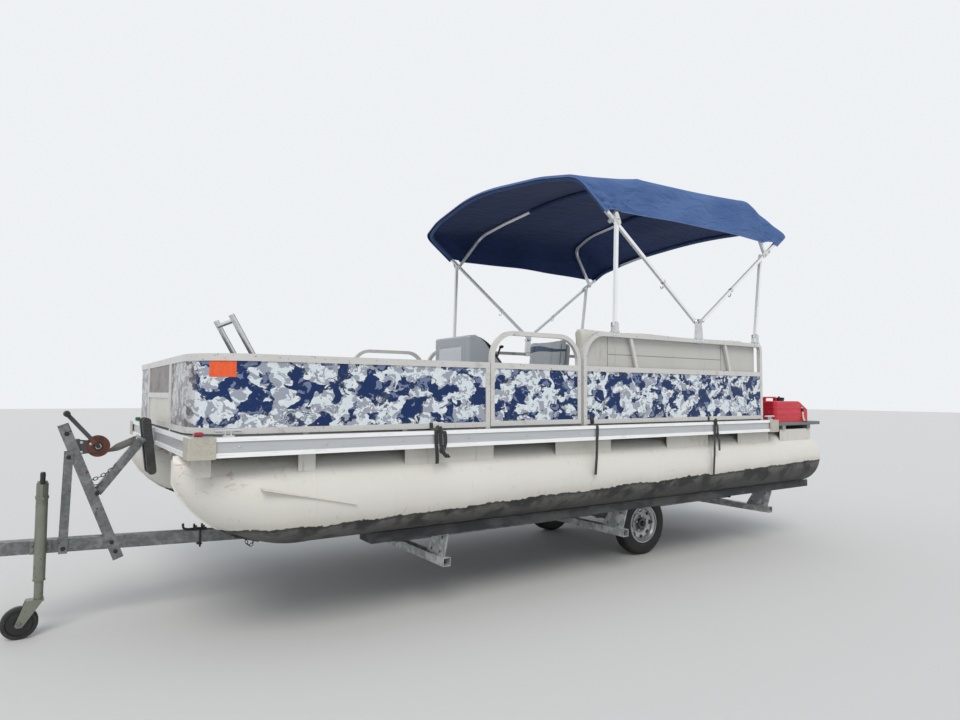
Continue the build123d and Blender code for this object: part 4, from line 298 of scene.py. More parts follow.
gloss = {"Coat_Weight": 0.12, "Coat_Roughness": 0.3}
tube_paint = skin = Finish("tube_paint", 0.6, (224, 221, 213), (210, 206, 197), "weathered_aluminium", **gloss)
skin.dirty(2.6, 0.3, 0.45, (168, 158, 141)).marked((24, 24, 1.6), 1.4, 0.42, 0.22, (150, 138, 118))
skin.marked((2.2, 30, 34), 1.6, 0.2, 0.4, (132, 122, 108))
# pink scuffs, only high on the noses
nose = skin.axis("X").step(2.0, 2.35) * skin.axis("Z").step(0.80, 0.96)
scuff = skin.cloud(0.10, 6.0, 1.6, (1, 1, 2.2)).step(0.585, 0.63)
skin.lay(scuff * nose, 0.5, (172, 112, 112))
# the water line rises towards the stern in this frame, and its edge is ragged at two sizes
ragged = skin.cloud(0.30, 2.0) + skin.cloud(0.035, 6.0, 0.6) * 0.55
under = skin.axis("X") * -0.0216 + 0.6565 + ragged * 0.062 - skin.axis("Z")
scum = under.step(0.0, 0.007)
slime = skin.mix(skin.cloud(0.05, 8.0, 0.8, (1, 1, 2.5)), (60, 60, 58), (116, 115, 110))
slime = skin.mix(skin.cloud(0.16, 5.0).step(0.46, 0.62), slime, (44, 45, 44))
slime = skin.mix(under.step(0.03, 0.11) * 0.6, slime, (50, 51, 50))
slime = skin.mix((scum - under.step(0.006, 0.03)) * 0.75, slime, (38, 38, 37))
skin.lay(under.step(-0.06, 0.0), 0.2, (160, 150, 126)).lay(scum, 1, slime)
relief = skin.shared(grain, 260.0) + skin.cloud(0.006, 5.0) * scum * 2.5
skin.close(0.36, 0.86, relief, 0.0007, scum.math("MAXIMUM", skin.soil * 0.3)).on("pontoons")


def at(aft, side, height):
    """Points of the boat in metres, from millimetres aft of the bow, to port, and over the deck."""
    shape = np.broadcast_arrays(*(np.asarray(measure, float) for measure in (aft, side, height)))
    return np.stack([2480 - shape[0], shape[1], 1160 + shape[2]], axis=-1) / 1000


def skinned(points, round_rows=False, round_columns=False):
    """A shell over a grid of points, rows by columns: its points, four-sided faces and end caps.
    Each face joins a point to its neighbours one row and one column on. Rows that are rings close
    the shell with a flat cap at each end, unless the rows go round too."""
    rows, columns = points.shape[:2]
    row = np.arange(rows if round_rows else rows - 1)[:, None]
    column = np.arange(columns if round_columns else columns - 1)[None, :]
    next_row, next_column = (row + 1) % rows, (column + 1) % columns
    corners = [row * columns + column, next_row * columns + column]
    corners += [next_row * columns + next_column, row * columns + next_column]
    faces = np.stack(np.broadcast_arrays(*corners), axis=-1).reshape(-1, 4)
    ends = []
    if round_columns and not round_rows:
        ends = [list(range(columns)), list(range((rows - 1) * columns, rows * columns))]
    return points.reshape(-1, 3), faces, ends


def piece(name, shells, finish, body="boat_on_trailer", sharp=38):
    """One mesh object made of shells, with faces outward, that rides on a body."""
    starts = np.cumsum([0] + [len(points) for points, _, _ in shells])
    faces, points = [], np.concatenate([points for points, _, _ in shells])
    for (_, quads, ends), start in zip(shells, starts, strict=False):
        faces += (quads + start).tolist() + [[corner + int(start) for corner in end] for end in ends]
    mesh = bpy.data.meshes.new(name)
    mesh.from_pydata(points.tolist(), [], faces)
    form = bmesh.new()
    form.from_mesh(mesh)
    bmesh.ops.remove_doubles(form, verts=form.verts, dist=1e-6)
    bmesh.ops.dissolve_degenerate(form, edges=form.edges, dist=1e-7)
    bmesh.ops.recalc_face_normals(form, faces=form.faces)
    form.to_mesh(mesh)
    form.free()
    mesh.polygons.foreach_set("use_smooth", [True] * len(mesh.polygons))
    mesh.set_sharp_from_angle(angle=math.radians(sharp))
    mesh.materials.append(finish.material)
    made = bpy.data.objects.new(name, mesh)
    bpy.context.collection.objects.link(made)
    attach(made, body)
    return made


def turned(profile, centre, axis, steps=40, closed=False):
    """A turned shell: each (radius, distance along the axis) in millimetres goes round the axis
    as a circle. A closed profile is a ring with a hole."""
    axis = np.array(axis, float) / np.linalg.norm(axis)
    side = np.cross(axis, (0, 0, 1) if abs(axis[2]) < 0.9 else (1, 0, 0))
    side /= np.linalg.norm(side)
    profile = np.array(profile, float)[:, None] / 1000
    angle = np.linspace(0, 2 * math.pi, steps, endpoint=False)[:, None]
    spoke = np.cos(angle) * side + np.sin(angle) * np.cross(axis, side)
    points = np.asarray(centre, float) + profile[..., :1] * spoke + profile[..., 1:] * axis
    return skinned(points, closed, True)


# the weld that joins each length of tube to the next, a low bead laid round it
WELDS_AFT = (650, 1122, 2413, 3371, 4821)
BEAD = [(254.6, -5), (256.4, -3), (257.0, 0), (256.4, 3), (254.6, 5)]
weld_places = [at(aft, side, -360) for aft in WELDS_AFT for side in (940, -940)]
piece("tube_weld_rings", [turned(BEAD, spot, (1, 0, 0), 72, True) for spot in weld_places], tube_paint)

# Risers and cross beams: folded channels welded on the tubes, and channels bolted across them.
# The risers have the tubes' paint; the beams are bare aluminium gone dull, with patches of dirt.
skin = Finish("riser_paint", 0.25, (216, 213, 205), (198, 194, 184)).dirty(5.0, 0.45, 0.5, (150, 140, 124))
skin.marked((30, 30, 3), 1.5, 0.5, 0.3, (128, 116, 100)).close(0.42, 0.7, 420.0).on("deck_risers")
dull_metal = Finish("dull_metal", 0.12, (176, 177, 176), (150, 150, 147), "aluminium", Metallic=0.75)
dull_metal.marked((3, 60, 60), 3.0, 0.7, 0.3, (196, 196, 194)).dirty(6.0, 0.6, 0.65, (104, 98, 88))
dull_metal.close(0.45, 0.85, 700.0).on("deck_beams", "motor_pod")


def rounded(corners, radius, steps=6):
    """A line through corners with each inner one rounded: a curve of second degree that leaves one
    run and joins the next a radius from the corner, cut short where a run has too little room."""
    corners = np.asarray(corners, float)
    line = [corners[:1]]
    share = np.linspace(0, 1, steps)[:, None]
    for before, corner, after in zip(corners, corners[1:], corners[2:], strict=False):
        back, on = before - corner, after - corner
        reach = min(radius, min(np.linalg.norm(back), np.linalg.norm(on)) * 0.49)
        start = corner + back / np.linalg.norm(back) * reach
        end = corner + on / np.linalg.norm(on) * reach
        line.append((1 - share) ** 2 * start + 2 * share * (1 - share) * corner + share**2 * end)
    return np.concatenate(line + [corners[-1:]])


def carried(path, profile, across, closed=False):
    """A profile carried along a path: each profile point (a, b) stands a along the path's side
    direction, which is square to the path and lies nearest to across, and b along the third."""
    path, profile = np.asarray(path, float), np.asarray(profile, float)
    along = (np.roll(path, -1, axis=0) - np.roll(path, 1, axis=0)) if closed else np.gradient(path, axis=0)
    along /= np.linalg.norm(along, axis=1, keepdims=True)
    across = np.broadcast_to(np.asarray(across, float), path.shape)
    side = across - (across * along).sum(axis=1, keepdims=True) * along
    side /= np.linalg.norm(side, axis=1, keepdims=True)
    third = np.cross(along, side)
    points = path[:, None] + profile[None, :, :1] * side[:, None] + profile[None, :, 1:] * third[:, None]
    return skinned(points, closed, True)


def wire(count, radius, turn=2 * math.pi, endpoint=False):
    """The round outline of a wire, its radius in millimetres."""
    angle = np.linspace(0, turn, count, endpoint=endpoint)
    return np.column_stack([np.cos(angle), np.sin(angle)]) * radius / 1000


def slab(width, thick, edge, steps=3):
    """The outline of a flat bar with its four edges rounded, given in millimetres."""
    a, b = width / 2 - edge, thick / 2 - edge
    angle = np.linspace(0, math.pi / 2, steps)
    arc = edge * np.stack([np.cos(angle), np.sin(angle)], axis=1)
    spin = [arc, arc[::-1] * (-1, 1), -arc, arc[::-1] * (1, -1)]
    centres = [(a, b), (-a, b), (-a, -b), (a, -b)]
    return np.concatenate([part + centre for part, centre in zip(spin, centres, strict=True)]) / 1000


def block(low, high, edge=1.0):
    """A block between two places of the boat in millimetres, its edges all eased: a rounded
    outline rises by small steps that draw it in at its two ends."""
    low, high = at(*low), at(*high)
    size = (high - low) * 1000
    edge = min(edge, *(size * 0.45).tolist())
    half, rings = size[2] / 2, []
    for rise, inset in ((-half, edge), (edge - half, 0.0), (half - edge, 0.0), (half, edge)):
        ring = slab(size[0] - 2 * inset, size[1] - 2 * inset, edge)
        rings.append(np.column_stack([ring, np.full(len(ring), rise / 1000)]))
    return skinned(np.stack(rings) + (high + low) / 2, False, True)


def bolts(places, axis, head, tall):
    """Six-sided bolt heads with a washer under each, standing along one axis; their places,
    radius and height are in millimetres."""
    shape = [(0, 0), (head * 1.5, 0), (head * 1.5, tall * 0.3), (head * 1.02, tall * 0.32)]
    shape += [(head, tall * 0.85), (head * 0.8, tall), (0, tall)]
    return [turned(shape, at(*place), axis, 6) for place in places]


# Deck: plywood with marine carpet glued over it, short looped pile, faded and sandy in places.
# The aft deck outside the fence and its two wings have the same carpet.
skin = Finish("deck_carpet", Roughness=0.95, Sheen_Weight=0.35, Sheen_Roughness=0.6)
loops = skin.cells(260.0)
skin.base(loops.step(0.1, 0.7), (118, 121, 124), (70, 73, 77)).spotted(0.4, 5.0, 0.4, 0.62, 1, (102, 103, 102))
skin.dirty(2.2, 0.55, 0.4, (150, 140, 120)).close(0, 0, loops * -1.0, 0.002).on("deck", "aft_deck")

# Rub rail: an extruded aluminium rail round the deck edge, two round white lips with a flat grey
# band between them; it comes in lengths, and moulded caps close the bow and stern corners.
gloss = {"Coat_Weight": 0.2, "Coat_Roughness": 0.25}
# the lips are set almost at full white: their own white, raised further as a painted highlight for their glint
rail_finish = Finish("rub_rail_finish", 0.2, (250, 250, 249), (238, 238, 236), "weathered_aluminium", **gloss)
skin = rail_finish
skin.marked((4, 60, 80), 1.5, 0.55, 0.4, (170, 168, 162))
strip = skin.mix(skin.cloud(0.1, across=(0.3, 1, 14)), (196, 197, 199), (168, 169, 172))
skin.lay(1.0 - abs(skin.axis("Z") - 1.109).step(0.027, 0.0285), 1, strip)
skin.dirty(4.0, 0.45, 0.4, (150, 141, 128), (0.5, 1, 2)).close(0.3, 0.62, 300.0).on("rub_rail")
skin = Finish("cap_plastic", 0.06, (196, 190, 176), (178, 171, 156), Subsurface_Weight=0.05)
skin.dirty(14.0, 0.62, 0.6, (146, 136, 118)).marked((30, 30, 60), 3.0, 0.6, 0.5, (120, 112, 98))
skin.close(0.45, 0.75, 600.0).on("corner_caps")

# each joint between two lengths of rail is a thin cover plate bent over both lips
JOINTS_AFT = (410, 2640, 3900)
LIPS = [(1219.2, -103), (1220.6, -92), (1220.6, -82), (1213.2, -79), (1213.2, -24), (1220.6, -21)]
LIPS += [(1220.6, -10), (1219.2, 1)]
lip_side, lip_height = np.array(LIPS).T
for side, name in ((1, "port"), (-1, "starboard")):
    covers = []
    for aft in JOINTS_AFT:
        outer = at(aft - 9, side * lip_side, lip_height)
        loop = np.concatenate([outer, (outer + (0, -side * 0.003, 0))[::-1]])
        covers.append(skinned(np.stack([loop, loop + (-0.018, 0, 0)]), False, True))
    piece(f"{name}_rail_joint_covers", covers, rail_finish)
screw_steel = Finish("screw_steel", slot="aluminium", Metallic=1.0)
screw_steel.colour = (196, 196, 196)
screw_steel.dirty(60.0, 0.4, 0.7, (120, 100, 80)).close(0.28, 0.6, 900.0, 0.0001)


def studs(profile, places, steps):
    """Small turned heads that face outward from the side of the boat that they are on."""
    return [turned(profile, place, (0, math.copysign(1, place[1]), 0), steps) for place in places]


PAN_HEAD = [(0, 0), (5.2, 0), (5.0, 1.2), (3.6, 2.2), (0, 2.6)]
rail_screws = [at(aft, side * 1213.0, -51) for side in (1, -1) for aft in range(240, 4800, 457)]
piece("rub_rail_screws", studs(PAN_HEAD, rail_screws, 12), screw_steel)

# Fence frames and gates: square and round tube, cut, welded and painted cream, with bright
# rubbed streaks, patches of dirt and small chips down to the metal.
skin = Finish("frame_paint", 0.3, (214, 212, 208), (198, 195, 190), Metallic=0.15, Coat_Weight=0.1)
skin.dirty(7.0, 0.45, 0.55, (146, 138, 124)).marked((6, 60, 40), 2.0, 0.45, 0.45, (182, 182, 180))
skin.spotted(0.018, 4.0, 0.66, 0.69, 0.6, (110, 104, 96)).close(0.34, 0.66, 500.0)
skin.on("bow_fences", "port_aft_fence", "starboard_aft_fence", "stern_fence")
skin.on("bow_gate", "port_gate", "starboard_gate")

# Camouflage panels: thin aluminium sheet with printed film, held in the frames by rivets.
# The print is a plain blue and grey camouflage: pale lobed clouds with grey shadows on navy,
# and thin slate edges; on the bow face the film is painted greyer, browner and darker, as painted shade.
camouflage = skin = Finish("camouflage_film", 0.5, (8, 46, 98), (5, 36, 82), Specular_IOR_Level=0.3)
lie = skin.stretched((1.0, 1.0, 1.25))
bent = skin.node("ShaderNodeTexNoise", {"Vector": lie, "Scale": 13.0, "Detail": 2.0}, 1)
bent = skin.node("ShaderNodeVectorMath", {0: bent, 1: (0.5, 0.5, 0.5)}, operation="SUBTRACT")
bent = skin.node("ShaderNodeVectorMath", {0: bent, 3: 0.062}, operation="SCALE")
bent = skin.node("ShaderNodeVectorMath", {0: lie, 1: bent}, operation="ADD")


def lobes(size, shift, detail):
    """Noise for flat lobed patches of a size, each shifted to its own part of space."""
    moved = camouflage.node("ShaderNodeMapping", {"Vector": bent, "Location": shift})
    inputs = {"Vector": moved, "Scale": 1 / size, "Detail": detail, "Roughness": 0.54, "Distortion": 0.5}
    return camouflage.node("ShaderNodeTexNoise", inputs)


cloud = lobes(0.13, (3.1, 0.4, 1.7), 3.4)
clouds = cloud.step(0.484, 0.492)
twig_line = 1.0 - abs(lobes(0.09, (2.7, 6.1, 0.3), 3.0) - 0.5).step(0.007, 0.012)
twig_zone = skin.cloud(0.19, 1.0).step(0.52, 0.56)
rim_line = cloud.step(0.458, 0.464) - clouds
pale = skin.mix(lobes(0.066, (7.3, 2.2, 5.1), 3.4).step(0.498, 0.506), (214, 223, 226), (156, 160, 172))
pale = skin.mix(lobes(0.05, (1.3, 9.2, 2.1), 2.5).step(0.58, 0.588), pale, (226, 229, 229))
skin.lay(lobes(0.07, (5.9, 4.4, 8.8), 3.6).step(0.56, 0.568), 1, (112, 124, 152))
skin.lay(rim_line * twig_zone.math("MAXIMUM", 0.45), 1, (58, 68, 92))
skin.lay(clouds, 1, pale).lay(twig_line * twig_zone, 0.85, (62, 70, 88))
# painted shade on the bow face, which the light only grazes: the blue is turned brown-grey, the white grey, and
# both darker
bow_face_shade = {"Hue": 0.5, "Saturation": 0.12, "Value": 0.85, "Color": skin.colour}
bow_face_shade = skin.mix(0.35, skin.node("ShaderNodeHueSaturation", bow_face_shade), (140, 122, 118))
skin.lay(skin.axis("X").step(2.405, 2.43), 0.85, bow_face_shade).dirty(3.0, 0.3, 0.25, (160, 150, 134))
skin.close(0.26, 0.5, skin.cloud(0.35, 1.0), 0.004)
skin.on("fence_panels", "port_gate_panel", "starboard_gate_panel")

# the bow gate's panels, a faded dark one over a plain cream one
skin = Finish("gate_panel_finish", 0.2, (218, 214, 202), (200, 195, 182))
weathered = skin.mix(skin.cloud(0.09, 6.0, 0.5).step(0.42, 0.6), (92, 80, 80), (124, 110, 108))
skin.lay(skin.axis("Z").step(1.364, 1.366), 1, weathered).dirty(6.0, 0.5, 0.4, (150, 140, 124))
skin.close(0.35, 0.6, 500.0).on("bow_gate_panels")

DOMED, PANEL_SIDE = [(0, 0), (4.6, 0), (4.2, 1.3), (2.4, 2.3), (0, 2.6)], 1154.5
rivets = [
    at(aft, side * PANEL_SIDE, height)
    for afts in (range(440, 1800, 226), range(2660, 4480, 226))
    for side in (1, -1)
    for aft in afts
    for height in (56, 373)
]
piece("panel_rivets", studs(DOMED, rivets, 10), screw_steel)
for side, gate in ((1, "port_gate"), (-1, "starboard_gate")):
    spots = [at(aft, side * PANEL_SIDE, height) for aft in (1850, 2076, 2328, 2554) for height in (60, 373)]
    piece(f"{gate}_rivets", studs(DOMED, spots, 10), screw_steel, gate)

# Bow decal: a small bright orange square of film on the port bow panel, with nothing on it.
# The panel turns round the bow corner, so the decal bends with it.
decal_film = skin = Finish("decal_film", slot="camouflage", Coat_Weight=0.3)
fade = skin.cloud(0.02, 4.0)
skin.base(fade.step(0.4, 0.65), (236, 92, 26), (224, 80, 30)).close(0.3, 0.5, fade, 0.0002, fade)
CORNER_AFT, CORNER_SIDE, PANEL_RADIUS = 340.0, 846.0, 309.9
turn = np.radians(np.linspace(44.0, 70.0, 9))
decal_line = at(CORNER_AFT - PANEL_RADIUS * np.cos(turn), CORNER_SIDE + PANEL_RADIUS * np.sin(turn), 346)
piece("bow_decal", [carried(decal_line, slab(86, 0.6, 0.2, 2), (0, 0, 1))], decal_film)

# Running lights: a small lens on a bright base at each bow corner, red to port and green to
# starboard, screwed to the corner of the deck.
LENSES = ((1, "port", (176, 16, 34), (120, 8, 20)), (-1, "starboard", (18, 120, 62), (8, 80, 40)))
for side, name, clear, deep in LENSES:
    lens = Finish(f"{name}_lens", slot="red_plastic", Coat_Weight=0.6, Coat_Roughness=0.1)
    ribs = lens.wave(90.0)
    lens.base(ribs, deep, clear).close(0.12, 0.3, ribs, 0.0006, ribs)
    middle = side * 1190
    piece(f"{name}_running_light", [block((71, middle - 16, 5), (25, middle + 16, 27), 6)], lens)
    piece(f"{name}_light_base", [block((75, middle - 19, 0.6), (21, middle + 19, 6), 1.5)], screw_steel)

# Rail eyes: bright wire eyes screwed under the bow rail, for a line or a snap hook.
eyes = []
for side in (880, 640, -640, -880):
    bow = rounded([(side - 13, -100), (side - 13, -124), (side + 13, -124), (side + 13, -100)], 12, 7)
    eyes.append(carried(at(10, *bow.T), wire(8, 2.8, 5.5, True), (1, 0, 0)))
    eyes.append(block((22, side - 20, -106), (-2, side + 20, -102)))
piece("bow_rail_eyes", eyes, screw_steel)

# Tie straps: black webbing knotted round the lower fence rail, hanging over the rub rail.
# One has a loop and two short tails, one hangs straight, and one has a slip knot and a tail.
webbing = skin = Finish("black_webbing", slot="navy_cloth", Sheen_Weight=0.3)
weft, fluff = skin.wave(190.0, "Z"), skin.cloud(0.01, 4.0)
skin.base(weft, (18, 18, 19), (44, 44, 46)).lay(fluff, 0.4, (66, 63, 60)).close(0.8, 0.95, weft, 0.0006, fluff)


def strap(*points):
    """A flat strap laid through points given as (aft, side, height), its corners rounded and its
    flat face kept square to the outward side."""
    return carried(rounded(at(*np.array(points, float).T), 0.022, 7), slab(25, 2.2, 0.9, 2), (1, 0, 0))


def hung(aft, lean, drop):
    """A strap's run from the fence rail over the rub rail and down to a drop."""
    over_rail = ((1160.5, 44), (1164, 34), (1165, 8), (1195, 3), (1223.6, 2), (1224, -50))
    top = [(aft, side, height) for side, height in over_rail]
    low = (aft + lean, 1228, (drop - 108) / 2), (aft + lean * 1.4, 1222, drop)
    return strap(*top, (aft + lean * 0.5, 1225.5, -108), *low)


def knot(aft, side, height, size=0.017):
    """A tied lump of strap: a ball pressed in where the strap crosses over itself."""
    theta = np.linspace(0, math.pi, 13)[:, None]
    phi = np.linspace(0, 2 * math.pi, 24, endpoint=False)[None, :]
    reach = size * (1 + 0.22 * np.sin(3 * phi + 2 * theta) + 0.12 * np.cos(5 * phi - theta))
    flat = 0.72 * reach * np.sin(theta) * np.sin(phi)
    ball = np.stack([reach * np.sin(theta) * np.cos(phi), flat, 1.15 * reach * np.cos(theta)], axis=-1)
    return skinned(ball + at(aft, side, height), False, True)


loop = [(1410, 1166, 26), (1424, 1186, 4), (1430, 1226, 0), (1436, 1228, -70), (1420, 1229, -120)]
loop += [(1402, 1229, -90), (1399, 1229, -40), (1398, 1226, 3), (1396, 1168, 12)]
short_tail = (1404, 1228, -100), (1424, 1231, -140), (1446, 1229, -158), (1462, 1226, -150)
slip_tail = (4014, 1226, 2), (4034, 1232, -40), (4030, 1232, -104), (4052, 1230, -160), (4060, 1226, -236)
first_tie = [hung(1372, 6, -196), strap(*loop), strap(*short_tail), knot(1398, 1229, 2), knot(1410, 1232, -116)]
second_tie = [hung(2690, -14, -345), knot(2694, 1166, 30)]
third_tie = [hung(4008, -16, -428), knot(4010, 1229, 4), strap(*slip_tail), knot(4030, 1233, -100, 0.013)]
for number, shells in enumerate((first_tie, second_tie, third_tie), 1):
    piece(f"tie_strap_{number}", shells, webbing)

# Helm console: a moulded grey shell bolted to the deck, with an inset door in its front whose
# foot has a painted slate wave, and a raked dash with gauges, switches and the control lever.
skin = Finish("helm_shell", 0.4, (176, 180, 187), (162, 166, 173), Coat_Weight=0.3, Coat_Roughness=0.2)
x, y, z = (skin.axis(letter) for letter in "XYZ")
off_middle = y + 0.66
door = abs(off_middle).math("LESS_THAN", 0.204) * x.step(-0.135, -0.128)
door = door * z.math("GREATER_THAN", 1.282) * z.math("LESS_THAN", 1.818)
under = (off_middle * 7.0).math("COSINE") * 0.055 + 1.545 - z
wave = under.step(0.0, 0.004) - under.step(0.045, 0.05)
skin.lay(door, 1, (214, 217, 222)).lay(wave * door, 1, (66, 84, 112))
skin.lay((x * -0.743 + z * 0.669).step(1.4775, 1.479), 0.85, (74, 77, 82))
skin.dirty(3.5, 0.4, 0.3, (140, 134, 122)).close(0.32, 0.6, 350.0).on("helm_console")
black_plastic = Finish("black_plastic", 0.05, (26, 26, 27), (38, 38, 39), "black_plastic")
black_plastic.dirty(12.0, 0.5, 0.4, (92, 88, 80)).close(0.38, 0.7, 1100.0).on("steering_wheel")

DASH_NORMAL, DASH_DOWN = np.array([-0.7433, 0.0, 0.6690]), np.array([-0.6690, 0.0, -0.7433])


def on_dash(down, side, out=0.0):
    """A place on the raked dash in metres: down its slope from the wheel's shaft, and to port."""
    return np.array([-0.425, side, 1.740]) + DASH_DOWN * down + DASH_NORMAL * out


dial_face = Finish("dial_face", slot="black_plastic", Coat_Weight=0.8, Coat_Roughness=0.05)
specks = dial_face.cloud(0.0015, 2.0)
dial_face.base(specks.step(0.6, 0.7), (16, 17, 20), (52, 54, 58)).close(0.2, 0.4, specks, 0.00005, specks)
BEZEL = [(34, -2), (43, -2), (43, 5), (40, 8), (36, 7), (34, 4)]
bezels, faces, ticks = [], [], []
for down, side in ((-0.128, -0.50), (-0.128, -0.82), (-0.02, -0.47)):
    bezels.append(turned(BEZEL, on_dash(down, side), DASH_NORMAL, 36, True))
    faces.append(turned([(0, -1), (34.5, -1), (34.5, 3), (0, 3.4)], on_dash(down, side), DASH_NORMAL, 36))
    for angle in np.radians(np.linspace(-130, 130, 11)):
        spot = on_dash(down - 0.027 * math.cos(angle), side + 0.027 * math.sin(angle), 0.0036)
        ticks.append(turned([(0, 0), (1.5, 0), (1.2, 0.5), (0, 0.6)], spot, DASH_NORMAL, 6))
    lean = 0.6 + side
    tip = on_dash(down - 0.024 * math.cos(lean), side + 0.024 * math.sin(lean), 0.0045)
    ticks.append(carried([on_dash(down + 0.004, side, 0.0045), tip], slab(2.2, 0.6, 0.2, 2), (0, 1, 0)))
    ticks.append(turned([(0, 0), (4, 0), (3.4, 2), (0, 2.4)], on_dash(down, side, 0.0036), DASH_NORMAL, 12))
piece("dash_bezels", bezels, screw_steel)
piece("dash_dials", faces, dial_face)
white_mark = Finish("white_mark", slot="white_plastic")
specks = white_mark.cloud(0.004)
white_mark.base(specks, (236, 236, 230), (216, 216, 208)).close(0.4, 0.6, None, by=specks)
piece("dial_marks", ticks, white_mark)

keys = []
for down in (0.055, 0.086, 0.117, 0.148):
    lane = [on_dash(down, side, 0.001) for side in (-0.865, -0.825)]
    keys.append(carried(lane, slab(21, 12, 2), DASH_DOWN))
keys.append(carried([on_dash(0.10, -0.885), on_dash(0.10, -0.805)], slab(142, 5, 1.5), DASH_DOWN))
keys.append(turned([(0, 0), (13, 0), (13, 4), (10, 6), (0, 6)], on_dash(0.13, -0.47), DASH_NORMAL, 24))
piece("switch_panel", keys, black_plastic)

# the control box stands on the dash's port end, with its lever bent back over it
box = carried([on_dash(0.035, -0.405), on_dash(0.135, -0.405)], slab(55, 75, 12, 4), (0, 1, 0))
hub = turned([(0, 0), (26, 0), (26, 10), (20, 16), (0, 16)], on_dash(0.085, -0.4325, 0.02), (0, -1, 0), 28)
bend = [on_dash(0.085, -0.441, 0.02), on_dash(0.04, -0.441, 0.11), on_dash(0.02, -0.441, 0.15)]
lever = carried(rounded(bend, 0.03), slab(18, 11, 4), DASH_DOWN)
KNOB = [(0, -26), (11, -24), (15, -10), (15, 12), (10, 24), (0, 26)]
knob = turned(KNOB, on_dash(0.018, -0.425, 0.155), (0, 1, 0), 24)
piece("control_box", [box, hub, lever, knob], black_plastic)

# door latch and hinges on the console's inset door
latch = [turned([(0, 0), (16, 0), (16, 3), (11, 5), (0, 5)], at(2605, -493, 390), (1, 0, 0), 24)]
latch += [block((2607, -872, height - 22), (2598, -850, height + 22), 2) for height in (230, 550)]
piece("console_latch", latch, screw_steel)

# Seats: rotomoulded shells in warm white, and foam pads in marine vinyl sewn with piping.
# Sun and wet have left the shells chalky, with grey runs under each lip.
skin = Finish("seat_shell", 0.35, (196, 194, 189), (180, 178, 172), Coat_Weight=0.1)
skin.dirty(3.0, 0.45, 0.4, (164, 156, 140)).marked((26, 26, 2), 1.6, 0.38, 0.3, (140, 132, 120))
# the outer skin behind the port lounge has a level groove with an upright one at each end
off_ends = abs(skin.axis("X") + 1.0875) - 0.6725
level_cut = off_ends.math("LESS_THAN", 0.0) - abs(skin.axis("Z") - 1.68).step(0.0018, 0.0034)
cut = level_cut.math("MAXIMUM", 0.0).math("MAXIMUM", 1.0 - abs(off_ends).step(0.0022, 0.0042))
cut = cut * skin.axis("Y").math("GREATER_THAN", 1.04)
# the grooves' lines are painted darker: painted shade in them, besides the bump that cuts them in
skin.lay(cut, 0.8, (104, 99, 92)).close(0.4, 0.68, skin.shared(grain, 420.0) - cut * 3.0).on("seat_bases")
skin = Finish("chair_shell", 0.3, (196, 198, 200), (180, 182, 184), Coat_Weight=0.2)
skin.dirty(5.0, 0.4, 0.4, (150, 144, 132)).close(0.35, 0.6, 420.0).on("captain_chair")
bright_metal = Finish("bright_metal", 0.1, (222, 223, 224), (200, 201, 203), "aluminium", Metallic=0.85)
bright_metal.marked((8, 8, 80), 2.0, 0.8, 0.25, (168, 169, 172)).dirty(9.0, 0.4, 0.5, (140, 136, 128))
bright_metal.close(0.24, 0.55, 800.0, 0.0002)
bright_metal.on("chair_pedestal", "cleats", "boarding_ladder", "sun_top_mounts")


def vinyl_finish(name, light, shade, wavy=False):
    """Marine vinyl: a leather-like grain, soft creases, and grime in soft patches; a wavy one has
    a slate wave across it and a pale foot."""
    vinyl = Finish(name, 0.2, light, shade, "vinyl", Coat_Weight=0.08, Sheen_Weight=0.1)
    if wavy:
        side = vinyl.axis("Y")
        off_wave = vinyl.axis("Z") - ((side * 9.0 + 2.2).math("SINE") * 0.016 + 1.842)
        inside = (side * -0.05 + -0.008 - abs(off_wave)).step(-0.001, 0.002)
        vinyl.lay(inside, 1, (78, 98, 132)).lay(1.0 - off_wave.step(-0.075, -0.072), 1, (224, 227, 230))
    pores = vinyl.cells(420.0, feature="DISTANCE_TO_EDGE").step(0.0, 0.18)
    creases = vinyl.cloud(0.05, 4.0, 1.2, (1.0, 1.6, 1.0))
    return vinyl.dirty(4.0, 0.4, 0.35, (150, 140, 122)).close(0.42, 0.7, pores + creases * 2.0, 0.0007)


cream_vinyl = vinyl_finish("cream_vinyl", (232, 229, 219), (218, 213, 200))
chair_vinyl = vinyl_finish("chair_vinyl", (234, 234, 231), (222, 222, 218), True)
piping_vinyl = vinyl_finish("piping_vinyl", (120, 132, 150), (104, 116, 134))


